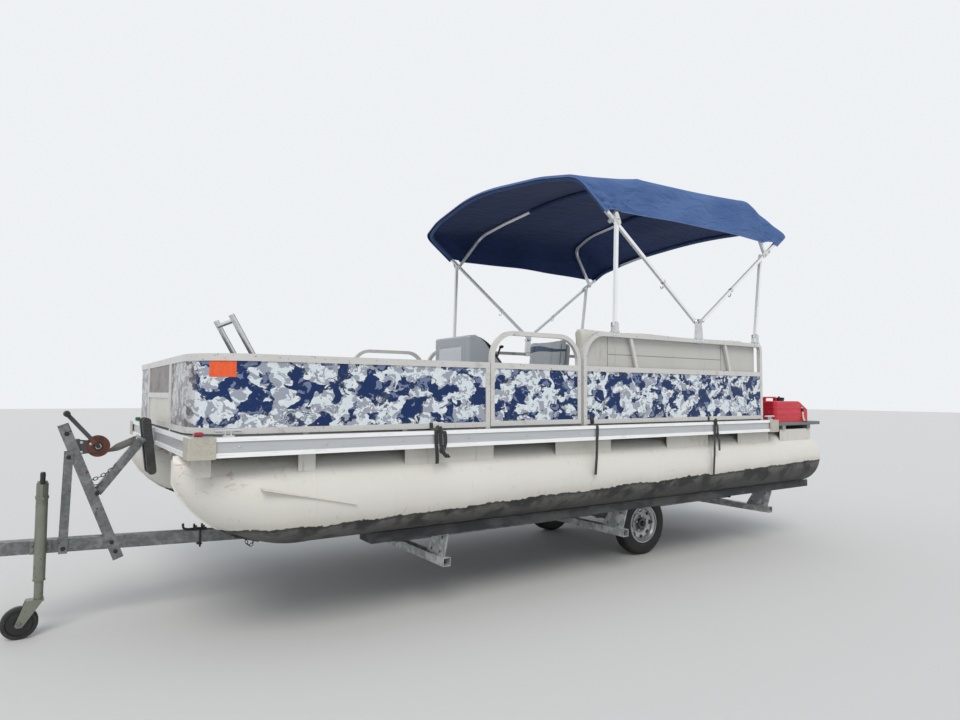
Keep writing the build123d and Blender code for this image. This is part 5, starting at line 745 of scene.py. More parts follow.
def cushion(
    name, centre, size, axes, sewn, crown=0.022, edge=0.028, pull=(0.012, 0.01), chair=False, vinyl=None
):
    """A sewn foam pad on a frame of three axes: long, wide and up. Rounded rings stand along the
    long axis and close to a line at each end. Its middle rises by the crown times one less the
    fourth power of the distance to each side, its sides pull in between the corners by one less
    the square, and each sewn channel is a bell-shaped groove. A piping runs round its top edge."""
    long, wide, tall = size
    axes = np.array(axes, float)
    body, node = ("chair", "captain_cushions") if chair else ("boat_on_trailer", "seat_cushions")
    # stations along the pad, each ring drawn in at the two ends by a quarter circle
    angle = np.linspace(math.pi / 2, 0, 7)[:-1]
    run, inset = edge * (1 - np.sin(angle)), edge * (1 - np.cos(angle))
    middle = np.linspace(-long / 2 + edge, long / 2 - edge, max(int(long / 0.016), 20))
    stations = np.concatenate([run - long / 2, middle, long / 2 - run[::-1]])
    insets = np.concatenate([inset, 0 * middle, inset[::-1]])[:, None, None]
    # one ring: its top close-set, its sides and foot at every third place
    across = np.linspace(-1, 1, max(int(wide / 0.016), 16))
    one = np.ones(len(across))
    sides = ((across, one), (one, -across), (-across, -one), (-one, across))
    picks = (slice(None), slice(1, -1, 3), slice(None, None, 3), slice(1, -1, 3))
    ring = np.concatenate([np.column_stack(pair)[pick] for pair, pick in zip(sides, picks, strict=True)])
    half = np.array([wide, tall]) / 2 - insets
    flat = ring * half
    beyond = np.maximum(np.abs(flat) - (half - edge), 0)
    far = np.maximum(np.linalg.norm(beyond, axis=-1, keepdims=True), 1e-9)
    flat = np.sign(flat) * (np.abs(flat) - beyond + beyond * np.minimum(edge / far, 1.0))
    along = np.broadcast_to(stations[:, None, None], (len(stations), len(ring), 1))
    points = np.concatenate([along, flat], axis=-1)
    shrink = np.array([(1, share, share) for share in (0.7, 0.35, 0.02)])[:, None]
    points = np.concatenate([points[0] * shrink[::-1], points, points[-1] * shrink])
    x, y, z = points[..., 0], points[..., 1], points[..., 2]
    u, v, w = np.clip(x / (long / 2), -1, 1), np.clip(y / (wide / 2), -1, 1), np.clip(z / tall + 0.5, 0, 1)
    belly = 4 * w * (1 - w)
    rise = crown * (1 - u**4) * (1 - v**4) * w
    for groove in sewn:
        rise = rise - 0.013 * np.exp(-(((x - groove) / 0.011) ** 2)) * w * (1 - v**8)
    wrinkle = 0.0016 * np.sin(x * 61 + 3 * v) * np.sin(y * 47 + 2 * u) * w
    x = x * (1 - 2 * pull[0] / long * (1 - v**2)) + np.sign(x) * 0.004 * belly * (np.abs(u) > 0.98)
    y = y * (1 - 2 * pull[1] / wide * (1 - u**2)) + v * 0.005 * belly
    z = z + rise + wrinkle - crown * 0.35
    shell = skinned(centre + np.stack([x, y, z], axis=-1) @ axes, False, True)
    pad = piece(name, [shell], vinyl or cream_vinyl, body, sharp=60)
    # the piping's lane round the pad, its corners cut a little
    corners = np.array([(0, -1), (-1, -1), (-1, 1), (1, 1), (1, -1), (0, -1)], float)
    spread = np.linspace(0, 1, 24)[:-1, None]
    lane = np.concatenate([a + (b - a) * spread for a, b in zip(corners, corners[1:], strict=False)])
    soft = edge * 0.55 * np.prod(np.abs(lane) ** 12, axis=1, keepdims=True)
    reach = lane * (np.array([long, wide]) / 2 - edge * 0.30)
    reach = reach - np.sign(reach) * soft
    reach = reach * (1 - 2 * np.array(pull) / (long, wide) * (1 - lane[:, ::-1] ** 2))
    lift = tall / 2 - edge * 0.32 - crown * 0.35
    path = centre + reach @ axes[:2] + lift * axes[2]
    piece(f"{name}_piping", [carried(path, wire(8, 4.2), axes[2], True)], piping_vinyl, body, sharp=80)
    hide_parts(node)


# long, wide and up axes of a pad, by the way that its top faces
PAD_AXES = {
    "z": ((1, 0, 0), (0, 1, 0), (0, 0, 1)),
    "-y": ((1, 0, 0), (0, 0, 1), (0, -1, 0)),
    "y": ((1, 0, 0), (0, 0, -1), (0, 1, 0)),
    "x": ((0, 1, 0), (0, 0, 1), (1, 0, 0)),
}


def pad_between(name, aft, side, height, up, channels, **more):
    """A cushion that fills the space between three pairs of limits in millimetres, up one axis."""
    low, high = at(aft[1], side[0], height[0]), at(aft[0], side[1], height[1])
    axes = np.array(PAD_AXES[up], float)
    size = np.abs(axes) @ (high - low)
    if size[1] > size[0]:
        axes, size = np.stack([axes[1], -axes[0], axes[2]]), size[[1, 0, 2]]
    sewn = [size[0] * (k / (channels + 1) - 0.5) for k in range(1, channels + 1)]
    cushion(name, (low + high) / 2, size, axes, sewn, **more)


PORT_LOUNGE, STERN_PORT, STERN_STARBOARD = (525, 1056), (-298, 517), (-1111, -306)
STERN_AFT, SEAT_HEIGHT, BACK_HEIGHT, BENCH_HEIGHT = (4116, 4653), (310.5, 425), (430, 704), (255.5, 344)
pad_between("lounge_seat_front", (2697, 3389), PORT_LOUNGE, SEAT_HEIGHT, "z", 2)
pad_between("lounge_seat_middle", (3395, 4110), PORT_LOUNGE, SEAT_HEIGHT, "z", 2)
pad_between("stern_corner_seat", STERN_AFT, PORT_LOUNGE, SEAT_HEIGHT, "z", 1)
pad_between("stern_seat_port", STERN_AFT, STERN_PORT, SEAT_HEIGHT, "z", 2)
pad_between("stern_seat_starboard", STERN_AFT, STERN_STARBOARD, SEAT_HEIGHT, "z", 2)
BACKS = (
    ("lounge_back_front", (2697, 3389), (964, 1056), "-y", 2),
    ("lounge_back_middle", (3395, 4554), (964, 1056), "-y", 4),
    ("stern_back_corner", (4561, 4653), PORT_LOUNGE, "x", 1),
    ("stern_back_port", (4561, 4653), STERN_PORT, "x", 2),
    ("stern_back_starboard", (4561, 4653), STERN_STARBOARD, "x", 2),
)
for name, aft, side, up, channels in BACKS:
    pad_between(name, aft, side, BACK_HEIGHT, up, channels, edge=0.024)
PORT_BENCH, STARBOARD_BENCH = (866, 1654), (396, 1654)
bench_back = {"edge": 0.016, "crown": 0.012}
pad_between("port_bench_seat", PORT_BENCH, (644, 1112), BENCH_HEIGHT, "z", 2)
pad_between("starboard_bench_seat", STARBOARD_BENCH, (-1112, -644), BENCH_HEIGHT, "z", 4)
pad_between("port_bench_back", PORT_BENCH, (1035, 1111), (347, 414), "-y", 2, **bench_back)
pad_between("starboard_bench_back", STARBOARD_BENCH, (-1111, -1035), (347, 414), "y", 4, **bench_back)

# Captain's chair: two pads in a grey moulded shell; the back pad is white with a slate wave
# across it and a pale grey foot, and both turn with the chair.
chair_pad = {"crown": 0.02, "edge": 0.03, "chair": True}
seat_axes = ((0, 1, 0), (-1, 0, 0), (0, 0, 1))
lean_axes = ((0, 1, 0), (-0.1107, 0, 0.9939), (0.9939, 0, 0.1107))
seat_size, back_size = (0.526, 0.345, 0.098), (0.526, 0.424, 0.082)
seat_sewn, back_sewn = (-0.13, 0.13), (-0.15, 0.15)
seat_middle = at(3527, -660, 391)
cushion("captain_seat_pad", seat_middle, seat_size, seat_axes, seat_sewn, pull=(0.008, 0.01), **chair_pad)
chair_pad |= {"pull": (0.008, 0.012), "vinyl": chair_vinyl}
cushion("captain_back_pad", at(3777, -660, 557), back_size, lean_axes, back_sewn, **chair_pad)

# Portable fuel tank: blow-moulded red plastic with a ribbed black screw cap, its vent and a hose
# fitting, held on the aft deck by a pale webbing strap with a buckle.
skin = Finish("tank_plastic", 0.15, (208, 26, 52), (184, 18, 44), Subsurface_Weight=0.04, Coat_Weight=0.1)
skin.dirty(5.0, 0.5, 0.35, (214, 92, 88)).marked((8, 60, 60), 2.0, 0.45, 0.35, (226, 130, 120))
z = skin.axis("Z")
relief = (z * 105.0).math("SINE") * (z.step(1.185, 1.19) - z.step(1.262, 1.267)) + skin.shared(grain, 500.0)
skin.close(0.32, 0.62, relief, 0.0016).on("fuel_tank")
CAP_AFT, CAP_SIDE = 5310, 985
cap = [(0, 0), (44, 0), (44, 8), (42, 10), (42, 30), (39, 33), (0, 33)]
cap = turned(cap, at(CAP_AFT, CAP_SIDE, 166), (0, 0, 1))
vent = turned([(0, 0), (9, 0), (9, 9), (6, 12), (0, 12)], at(CAP_AFT, CAP_SIDE, 198), (0, 0, 1), 20)
hose_end = [(0, 0), (11, 0), (11, 14), (8, 18), (8, 34), (0, 34)]
fittings = [cap, vent, turned(hose_end, at(5372, 930, 160), (-0.25, 0, 1), 20)]
for angle in np.linspace(0, 2 * math.pi, 16, endpoint=False):
    aft, side = CAP_AFT + 44 * math.cos(angle), CAP_SIDE + 44 * math.sin(angle)
    fittings.append(block((aft + 3, side - 3, 178), (aft - 3, side + 3, 196)))
piece("fuel_tank_cap", fittings, black_plastic)
pale_webbing = skin = Finish("pale_webbing", slot="bunk_carpet")
weft = skin.wave(170.0, "Y")
skin.base(weft, (206, 190, 150), (232, 220, 188)).dirty(12.0, 0.5, 0.5, (140, 120, 92))
skin.close(0.8, 0.95, weft, 0.0006)
hold_down = [(5450, 1160, -28), (5450, 1142, 10), (5450, 1138, 90), (5450, 1128, 130), (5450, 1060, 133)]
hold_down += [(5450, 910, 133), (5450, 842, 130), (5450, 832, 90), (5450, 828, 10), (5450, 808, -28)]
piece("tank_hold_down", [strap(*hold_down)], pale_webbing)
fixings = [block((5468, 1136, 66), (5432, 1145, 98), 3)]
fixings += [block((5468, side, -28), (5432, side + 22, -22)) for side in (1150, 800)]
piece("tank_strap_buckle", fixings, black_plastic)

# Boarding ladder: aluminium tube with ribbed steps, stowed upright behind the bow fence, with
# a soft black plastic foot on each leg.
FOOT = [(0, 0), (19, 0), (19, 26), (16.6, 28), (0, 28)]
piece("ladder_feet", [turned(FOOT, at(605, side, 0.5), (0, 0, 1), 20) for side in (525, 905)], black_plastic)

# Sun top frame: square aluminium bows and struts on pins, with pale plastic joint plates,
# clamps on the upper rail and a small hook on each bow.
skin = Finish("bow_alloy", 0.15, (246, 247, 248), (232, 234, 236), Metallic=0.25, Coat_Weight=0.2)
skin.dirty(8.0, 0.42, 0.3, (176, 174, 168)).spotted(0.006, 4.0, 0.7, 0.76, 0.5, (130, 130, 128))
skin.close(0.28, 0.58, 700.0, 0.0002).on("front_main_bow", "rear_main_bow", "front_inner_bow", "rear_inner_bow")
skin.on("front_struts", "rear_struts")
pale_plastic = Finish("pale_plastic", 0.03, (226, 224, 217), (208, 205, 196), "white_plastic")
pale_plastic.dirty(25.0, 0.5, 0.5, (148, 142, 130)).close(0.42, 0.7, 900.0)


def heading_of(degrees):
    """The cosine and sine of a heading in the boat's side view."""
    return math.cos(math.radians(degrees)), math.sin(math.radians(degrees))


def link_plates(name, place, heading, out, length, width, body):
    """A flat plate with round ends outside the tubes on each side, its middle at (x, z)."""
    angle = np.linspace(-math.pi / 2, math.pi / 2, 9)
    end = np.column_stack([(length - width + width * np.cos(angle)) / 2, width / 2 * np.sin(angle)])
    a, b = np.concatenate([end, -end]).T
    c, s = heading_of(heading)
    plates = []
    for side in (1, -1):
        rows = []
        for shrink, rise in ((0.88, 0.0), (1.0, 0.001), (1.0, 0.004), (0.88, 0.005)):
            x, z = place[0] + (a * c - b * s) * shrink, place[1] + (a * s + b * c) * shrink
            rows.append(np.stack([x, np.full(len(a), side * (out + rise)), z], axis=-1))
        plates.append(skinned(np.stack(rows), False, True))
    piece(name, plates, pale_plastic, body)


def nuts(spots, out):
    """Domed nuts on the pins at (x, z) places, on both sides of the boat."""
    dome = [(0, 0), (10, 0), (10, 1.5), (8, 1.6), (8, 6), (5, 9), (0, 10)]
    return [turned(dome, (x, side * out, z), (0, side, 0), 12) for x, z in spots for side in (1, -1)]


NEAR_JOINT, REAR_JOINT, STRUT_JOINT = (-0.4916, 2.7067), (-2.3755, 2.6839), (-2.3192, 2.6423)
BASE, FRONT_HEADING, REAR_HEADING = (-1.4350, 1.9880), 37.3, 143.5
link_plates("front_joint_plates", NEAR_JOINT, 67.0, 1.1595, 0.100, 0.040, "front_struts")
link_plates("rear_joint_plates", (-2.3473, 2.6631), REAR_HEADING, 1.1915, 0.125, 0.036, "rear_main_bow")
piece("front_joint_nuts", nuts([NEAR_JOINT], 1.1645), screw_steel, "front_struts")
piece("rear_joint_nuts", nuts([REAR_JOINT, STRUT_JOINT], 1.1965), screw_steel, "rear_main_bow")
clamps = []
for aft, reach in ((2946, 36), (3915, 48), (4696, 36)):
    for side in (1, -1):
        low, high = (aft + reach, side * 1146 - 20.5, 645), (aft - reach, side * 1146 + 20.5, 684)
        clamps.append(block(low, high, 4))
        spots = [(aft + way * (reach - 10), side * 1166.5, 664) for way in (-1, 1)]
        clamps += bolts(spots, (0, side, 0), 4.5, 4)
piece("sun_top_clamps", clamps + nuts([BASE], 1.1940), bright_metal)
for name, heading, plane in (("front", FRONT_HEADING, 1.114), ("rear", REAR_HEADING, 1.178)):
    c, s = heading_of(heading)
    x, z = BASE[0] + 0.49 * c, BASE[1] + 0.49 * s
    hooks = []
    for y in (plane, -plane):
        ends = [(x + way * c, y, z + way * s) for way in (-0.011, 0.011)]
        hooks.append(carried(ends, slab(30, 30, 3), (0, 1, 0)))
        drop = [(x, y, z - 0.010), (x, y, z - 0.045), (x + 0.022, y, z - 0.062), (x + 0.034, y, z - 0.040)]
        hooks.append(carried(rounded(drop, 0.014), slab(10, 4, 1.5), (0, 1, 0)))
    piece(f"{name}_bow_hooks", hooks, bright_metal, f"{name}_main_bow")

# Sun top canopy: one sheet of navy acrylic canvas in three sewn lengths, pulled over four bows
# with a sleeve on each; the side hems hang free and the seams pucker the cloth.
canvas = skin = Finish("navy_canvas", slot="navy_cloth", Sheen_Weight=0.06, Specular_IOR_Level=0.25)
underside_shade = skin.node("ShaderNodeAttribute", {}, "Fac", attribute_name="underside_shade")
threads = skin.cloud(0.0022, 2.0, 0.0, (0.25, 1.0, 1.0)) * skin.cloud(0.0022, 2.0, 0.0, (1.0, 0.25, 1.0)) * 2.0
bleach = skin.cloud(0.5, 5.0).step(0.35, 0.7)
skin.base(bleach, (74, 104, 156), (92, 121, 170)).dirty(2.0, 0.4, 0.3, (92, 108, 140))
# the inner faces are painted a darker navy: painted shade for the underside of the sheet
skin.lay(underside_shade, 1, skin.mix(bleach, (38, 57, 100), (46, 65, 110))).lay(threads, 0.3, (24, 40, 84))
folds = skin.cloud(0.11, 2.5, 0.9, (0.6, 2.2, 1.9))
skin.close(0.8, 0.95, threads + folds * 26.0, 0.0009, bleach)

HAUNCH_IN = 330
ARCH_RADII = np.array((130.0, 1200.0, 2400.0, 1200.0, 130.0))


def arch_line(half, shoulder, haunch, crown, foot, haunch_in, rise=0.0):
    """An arch in its own plane in millimetres, from the port foot over the crown to starboard:
    straight runs between corners, each corner rounded by a curve as long as its arc's tangents.
    Every arch has the same count of points on each run, so rows of them join feature to feature."""
    port = [(half, foot), (half, shoulder + rise), (half - haunch_in, haunch + rise)]
    corners = np.array(port + [(0, crown + rise)] + [(-out, height) for out, height in port[::-1]], float)
    legs = np.diff(corners, axis=0)
    lengths = np.linalg.norm(legs, axis=1)
    units = legs / lengths[:, None]
    bends = np.arccos(np.clip((units[:-1] * units[1:]).sum(axis=1), -1, 1))
    room = np.minimum(lengths[:-1], lengths[1:]) * 0.49
    tangents = np.minimum(ARCH_RADII * np.tan(bends / 2), room)[:, None]
    starts, ends = corners[1:-1] - units[:-1] * tangents, corners[1:-1] + units[1:] * tangents
    share, run = np.linspace(0, 1, 9)[:-1, None], np.linspace(0, 1, 12)[:-1, None]
    line = [corners[0] + (starts[0] - corners[0]) * run]
    for start, corner, end, after in zip(starts, corners[1:], ends, [*starts[1:], corners[-1]], strict=False):
        line.append((1 - share) ** 2 * start + 2 * share * (1 - share) * corner + share**2 * end)
        line.append(end + (after - end) * run)
    return np.concatenate(line + [corners[-1:]])


def in_plane(line, pivot, heading, lap=0.0):
    """An arch's points in metres in the frame: out along its legs from its pin, lapped across."""
    c, s = heading_of(heading)
    x = pivot[0] + (line[:, 1] * c - lap * s) / 1000
    z = pivot[1] + (line[:, 1] * s + lap * c) / 1000
    return np.stack([x, line[:, 0] / 1000, z], axis=-1)


FRONT_ARCH, REAR_ARCH = (1114, 1620, 1717, 1825), (1178, 1480, 1715, 1856)
FIRST_ARCH, SECOND_ARCH = (1082, 435, 520, 622), (1146, 468, 575, 655)
FIRST_HEADING, SECOND_HEADING = 127.6, 59.4
CLOTH_OVER, HEM, CLOTH_THICK, SEAM_RISE = 28.0, 2765.0, 0.0026, 0.0016
# pin, heading, shape, cloth's half width and lap of each line of the sheet, from front to rear
SHEET_LINES = (
    (BASE, FRONT_HEADING, FRONT_ARCH, 1134.5, -24),
    (BASE, FRONT_HEADING, FRONT_ARCH, 1134.5, 0),
    (NEAR_JOINT, FIRST_HEADING, FIRST_ARCH, 1153.7, 0),
    (REAR_JOINT, SECOND_HEADING, SECOND_ARCH, 1179.3, 0),
    (BASE, REAR_HEADING, REAR_ARCH, 1198.5, 0),
    (BASE, REAR_HEADING, REAR_ARCH, 1198.5, 24),
)
sheet_rows = []
for pivot, heading, (half, *shape), cloth_half, lap in SHEET_LINES:
    foot = (HEM - 1000 * pivot[1]) / heading_of(heading)[1]
    line = arch_line(cloth_half, *shape, foot, HAUNCH_IN + cloth_half - half, CLOTH_OVER)
    sheet_rows.append(in_plane(line, pivot, heading, lap))
length_shares = np.concatenate([[0, 0.012, 0.024], np.linspace(0.05, 0.95, 19), [0.976, 0.988]])
spans = [np.linspace(0, 1, 4)[:-1]] + [length_shares] * 3 + [np.linspace(0, 1, 4)]
rows = []
for number, (start, end, shares) in enumerate(zip(sheet_rows, sheet_rows[1:], spans, strict=False)):
    across = np.linspace(-1, 1, len(start))
    for share in shares:
        row = start + (end - start) * share
        if 0 < number < 4:
            slack = 4 * share * (1 - share)
            row[:, 2] += -0.010 * slack * (1 - across**6) + 0.016 * slack * across**24
            from_seam = min(share, 1 - share) * np.linalg.norm(end - start, axis=1)
            pucker = np.exp(-from_seam / 0.055) - np.exp(-from_seam / 0.012)
            wander = across + 0.05 * np.sin(17 * across + 2.3 * number) + 0.03 * np.sin(41 * across + number)
            strength = 0.5 + 0.5 * np.sin(7.3 * across + 1.9 * number) * np.sin(13.1 * across + 0.7)
            wave = np.sin(wander * 47 + 2.1 * number + 1.5 * share) * strength
            flank = np.clip((np.abs(across) - 0.45) / 0.4, 0, 1)
            fold = 0.9 * share - 0.55 * across + 0.12 * np.sin(9 * across + 2 * number)
            ripple = slack * np.sin(11 * fold + 1.3 * number) * np.sin(4.1 * fold + 0.9 * number)
            lift = 0.0072 * pucker * wave + 0.0065 * ripple
            row[:, 2] += lift * (1 - 0.7 * flank)
            row[:, 1] += np.sign(across) * 3.0 * lift * flank
        rows.append(row)
outer = np.stack(rows)
UNDER_CLOTH = (-1.4, 0, 2.2)
normals = np.cross(np.gradient(outer, axis=0), np.gradient(outer, axis=1))
normals /= np.linalg.norm(normals, axis=2, keepdims=True)
normals *= np.where((normals * (outer - UNDER_CLOTH)).sum(axis=2, keepdims=True) > 0, 1, -1)
for seam in np.cumsum([0] + [len(part) for part in spans])[2:4]:
    outer[seam - 1 : seam + 2] += normals[seam - 1 : seam + 2] * SEAM_RISE
cloth = skinned(np.concatenate([outer, (outer - normals * CLOTH_THICK)[:, ::-1]], axis=1), False, True)


def paint_underside_shade(made, values):
    """Says how far each face of a canvas piece is painted darker, as painted shade for the underside of the
    cloth.
    """
    made.data.attributes.new("underside_shade", "FLOAT", "FACE").data.foreach_set("value", values.astype(np.float32))


def folding(made):
    """Gives a piece of the sheet its own mesh; nothing squashes it as the sun top folds."""
    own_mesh(made)


canopy_cloth = piece("canopy_cloth", [cloth], canvas, "rear_main_bow", sharp=70)
count = len(canopy_cloth.data.polygons)
middles, facing = np.empty(count * 3), np.empty(count * 3)
canopy_cloth.data.polygons.foreach_get("center", middles)
canopy_cloth.data.polygons.foreach_get("normal", facing)
inward = ((middles.reshape(-1, 3) - UNDER_CLOTH) * facing.reshape(-1, 3)).sum(axis=1) <= 0
paint_underside_shade(canopy_cloth, inward)
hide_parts("sun_top_canopy")
folding(canopy_cloth)

# a round welt is sewn into all four edges of the sheet, a shade lighter than the cloth
welt_cloth = Finish("welt_cloth", slot="navy_cloth", Sheen_Weight=0.3)
twist = welt_cloth.wave(120.0, "DIAGONAL")
welt_cloth.base(twist, (74, 100, 156), (98, 124, 178)).close(0.75, 0.9, twist, 0.0005, twist)
edge_line = np.concatenate([outer[0], outer[1:-1, -1], outer[-1][::-1], outer[1:-1, 0][::-1]])
welt = carried(edge_line, wire(8, 3.6), (0.1, 0.2, 1.0), True)
folding(piece("canopy_welt", [welt], welt_cloth, "rear_main_bow", sharp=80))


def sleeve(name, line, pivot, heading, body, shape, underside_shade):
    """A tube of canvas sewn round a bow along a line of its arch."""
    c, s = heading_of(heading)
    shell = carried(in_plane(line, pivot, heading), shape, (-s, 0, c))
    made = piece(name, [shell], canvas, body, sharp=70)
    # the sleeve takes a share of the underside's painted shade: a full share under the sheet, less round the
    # hems
    paint_underside_shade(made, np.full(len(made.data.polygons), underside_shade))


# the front and rear hems are sewn round their bows, from one foot of the sheet to the other
for name, heading, shape in (("front", FRONT_HEADING, FRONT_ARCH), ("rear", REAR_HEADING, REAR_ARCH)):
    foot = (HEM + 6 - 1000 * BASE[1]) / heading_of(heading)[1]
    line = arch_line(*shape, foot, HAUNCH_IN)
    sleeve(f"{name}_hem_sleeve", line, BASE, heading, f"{name}_main_bow", slab(33.5, 33.5, 9, 4), 0.35)

# each inner bow runs through a sleeve that is sewn under the sheet across its crown
INNER = (
    ("first", "front", NEAR_JOINT, FIRST_HEADING, FIRST_ARCH),
    ("second", "rear", REAR_JOINT, SECOND_HEADING, SECOND_ARCH),
)
for name, end, pivot, heading, shape in INNER:
    line = arch_line(*shape, 40.0, HAUNCH_IN)
    line = line[(line[:, 0] > -380) & (line[:, 0] < 860)]
    sleeve(f"{name}_bow_sleeve", line, pivot, heading, f"{end}_inner_bow", slab(29, 29, 6, 4), 1.0)

# Outboard: a cast bracket clamped on the transom, a black enamelled leg and gearcase, and a
# moulded black cowl with a rubber seam band, rear air slots and two latches.
skin = Finish("cowl_paint", 0.3, (22, 23, 25), (32, 33, 35), Coat_Weight=0.5, Coat_Roughness=0.08)
skin.marked((5, 50, 50), 2.0, 0.35, 0.35, (84, 86, 90)).dirty(4.0, 0.45, 0.4, (104, 98, 88))
skin.close(0.16, 0.55, 300.0).on("outboard_cowl")
skin = Finish("leg_paint", 0.2, (30, 31, 33), (42, 43, 45), Coat_Weight=0.2)
skin.spotted(0.014, 5.0, 0.64, 0.66, 0.8, (150, 152, 154))
dust = skin.shared(grime, 7.0, Cover=0.5)
skin.lay(dust * (1.0 - skin.axis("Z").step(0.50, 0.60)), 0.6, (122, 118, 104))
skin.close(0.3, 0.7, 500.0, by=dust).on("outboard_leg", "propeller")
dull_metal.on("outboard_clamp", "outboard_swivel")

COWL_FRONT, COWL_BACK, COWL_HALF, COWL_CORNER = 5347, 5968, 168.5, 110
angle = np.linspace(0, math.pi / 2, 9)
bend = COWL_CORNER * np.column_stack([np.cos(angle), np.sin(angle)])
back, front, half = COWL_BACK - COWL_CORNER, COWL_FRONT + COWL_CORNER, COWL_HALF - COWL_CORNER
arcs = (bend + (back, half), bend[::-1] * (-1, 1) + (front, half), (front, -half) - bend)
plan = np.concatenate([*arcs, bend[::-1] * (1, -1) + (back, -half)])
band = carried(at(plan[:, 0], plan[:, 1], 200), slab(14, 7, 3), (0, 0, 1), True)
piece("cowl_seam_band", [band], black_plastic, "outboard_motor")
slots = [block((5965, -70, height), (5959, 70, height + 9), 2) for height in range(222, 292, 17)]
slots += [block((5967, -84, height), (5960, 84, height + 4)) for height in (214, 296)]
piece("cowl_air_slots", slots, black_plastic, "outboard_motor")
LATCH = [(0, 0), (9, 0), (9, 4), (6, 7), (0, 7)]
latches = [block((5680, side * 166, 168), (5630, side * 175, 232), 4) for side in (1, -1)]
latches += studs(LATCH, [at(5655, side * 175, 200) for side in (1, -1)], 20)
piece("cowl_latches", latches, bright_metal, "outboard_motor")
# two clamp screws with flat thumb bars, and the sacrificial anode under the plate
screws = []
for side in (85, -85):
    screws.append(turned([(0, -12), (8, -12), (8, 24), (0, 24)], at(5300, side, -112), (1, 0, 0), 20))
    screws.append(block((5282, side - 26, -117), (5275, side + 26, -107), 3))
piece("clamp_screws", screws, bright_metal)
leg_parts = [turned([(0, 0), (24, 0), (22, 12), (0, 14)], at(5660, 0, -613), (0, 0, -1), 20)]
for aft in range(5530, 5600, 14):
    leg_parts += [block((aft, side * 19, -720), (aft - 7, side * 16, -690)) for side in (1, -1)]
piece("leg_anode", leg_parts, dull_metal, "outboard_motor")
CONE = [(0, 24), (9, 22), (14, 16), (17, 8), (17, 0), (0, 0)]
piece("propeller_nut", [turned(CONE, at(5754, 0, -770), (-1, 0, 0), 20)], bright_metal, "propeller")

# Trailer frame: rolled steel tube and flat, cut, welded and dipped in zinc, now dull grey with
# the faint spangle of old galvanising, pale bloom and rust where it has been knocked.
zinc = skin = Finish("galvanised", slot="galvanised", Metallic=0.35)
skin.base(skin.axis("X", skin.cells(62.0, "Color")), (100, 103, 104), (122, 125, 126))
skin.spotted(0.07, 6.0, 0.5, 0.68, 0.45, (158, 160, 158), 0.6).dirty(5.0, 0.55, 0.6, (88, 86, 80))
rust = skin.cloud(0.03, 7.0, 0.4).step(0.655, 0.70)
skin.lay(rust, 0.75, (112, 68, 42)).close(0.42, 0.88, 420.0, 0.0006, skin.soil.math("MAXIMUM", rust))
skin.on("trailer_tongue", "trailer_rails", "winch_stand", "trailer_axle", "coupler")

# the cross beams and the bunk brackets are newer: paler zinc, with white bloom
skin = Finish("pale_zinc", Metallic=0.3)
skin.base(skin.cloud(0.05, 6.0, 0.6).step(0.42, 0.62), (164, 167, 168), (206, 208, 206))
skin.dirty(7.0, 0.45, 0.5, (112, 108, 100)).spotted(0.025, 7.0, 0.67, 0.71, 0.7, (128, 82, 54), 0.4)
skin.close(0.4, 0.8, 420.0, 0.0005).on("trailer_cross_beams", "bunk_brackets")
black_iron = Finish("black_iron", 0.02, (44, 42, 42), (58, 55, 54), "galvanised", Metallic=0.4)
black_iron.dirty(30.0, 0.6, 0.6, (96, 60, 42)).close(0.5, 0.9, black_iron.soil, 0.0004)

# each leaning bar of the winch stand runs from a foot to a head, given as (aft, height)
POST, LEG = ((-175, -790), (-485, 27)), ((-465, -725), (-450, -134))
BOLTED = ((POST, 0.055, 43.8), (POST, 0.125, 43.8), (LEG, 0.05, 49.8), (LEG, 0.95, 49.8))
stand_bolts = []
for side in (1, -1):
    for (foot, head), share, out in BOLTED:
        aft, height = (low + (high - low) * share for low, high in zip(foot, head, strict=True))
        stand_bolts += bolts([(aft, side * out, height)], (0, side, 0), 9, 7)
    stand_bolts += bolts([(-298, side * 43.8, -387), (-465, side * 43.8, -25)], (0, side, 0), 10, 8)
piece("stand_bolts", stand_bolts, black_iron, sharp=30)

# bolts stand on the rails over each cross beam, on each bunk bracket and on the tongue's header
BEAMS_AFT, RAIL_TOP = (1580, 3190, 5100), -744.6
frame_bolts = []
for aft in BEAMS_AFT:
    for side in (1, -1):
        frame_bolts += bolts([(aft + way, side * 420, RAIL_TOP) for way in (-20, 20)], (0, 0, 1), 8, 7)
        spots = ((880, -700), (960, -700), (820, -795), (930, -795))
        frame_bolts += bolts([(aft - 4.3, side * out, height) for out, height in spots], (1, 0, 0), 7, 6)
frame_bolts += bolts([(1875, side, RAIL_TOP) for side in (250, -250)], (0, 0, 1), 8, 7)
piece("frame_bolts", frame_bolts, zinc, sharp=30)


def bent_wire(corners, bend, radius, across):
    """A round wire bent through places of the boat in millimetres."""
    return carried(at(*rounded(corners, bend).T), wire(10, radius), across)


def tongue_top(aft):
    """The height of the tongue's top face in millimetres, a straight fall towards the stern."""
    return -625 - (aft + 830) * (120 / 2730)


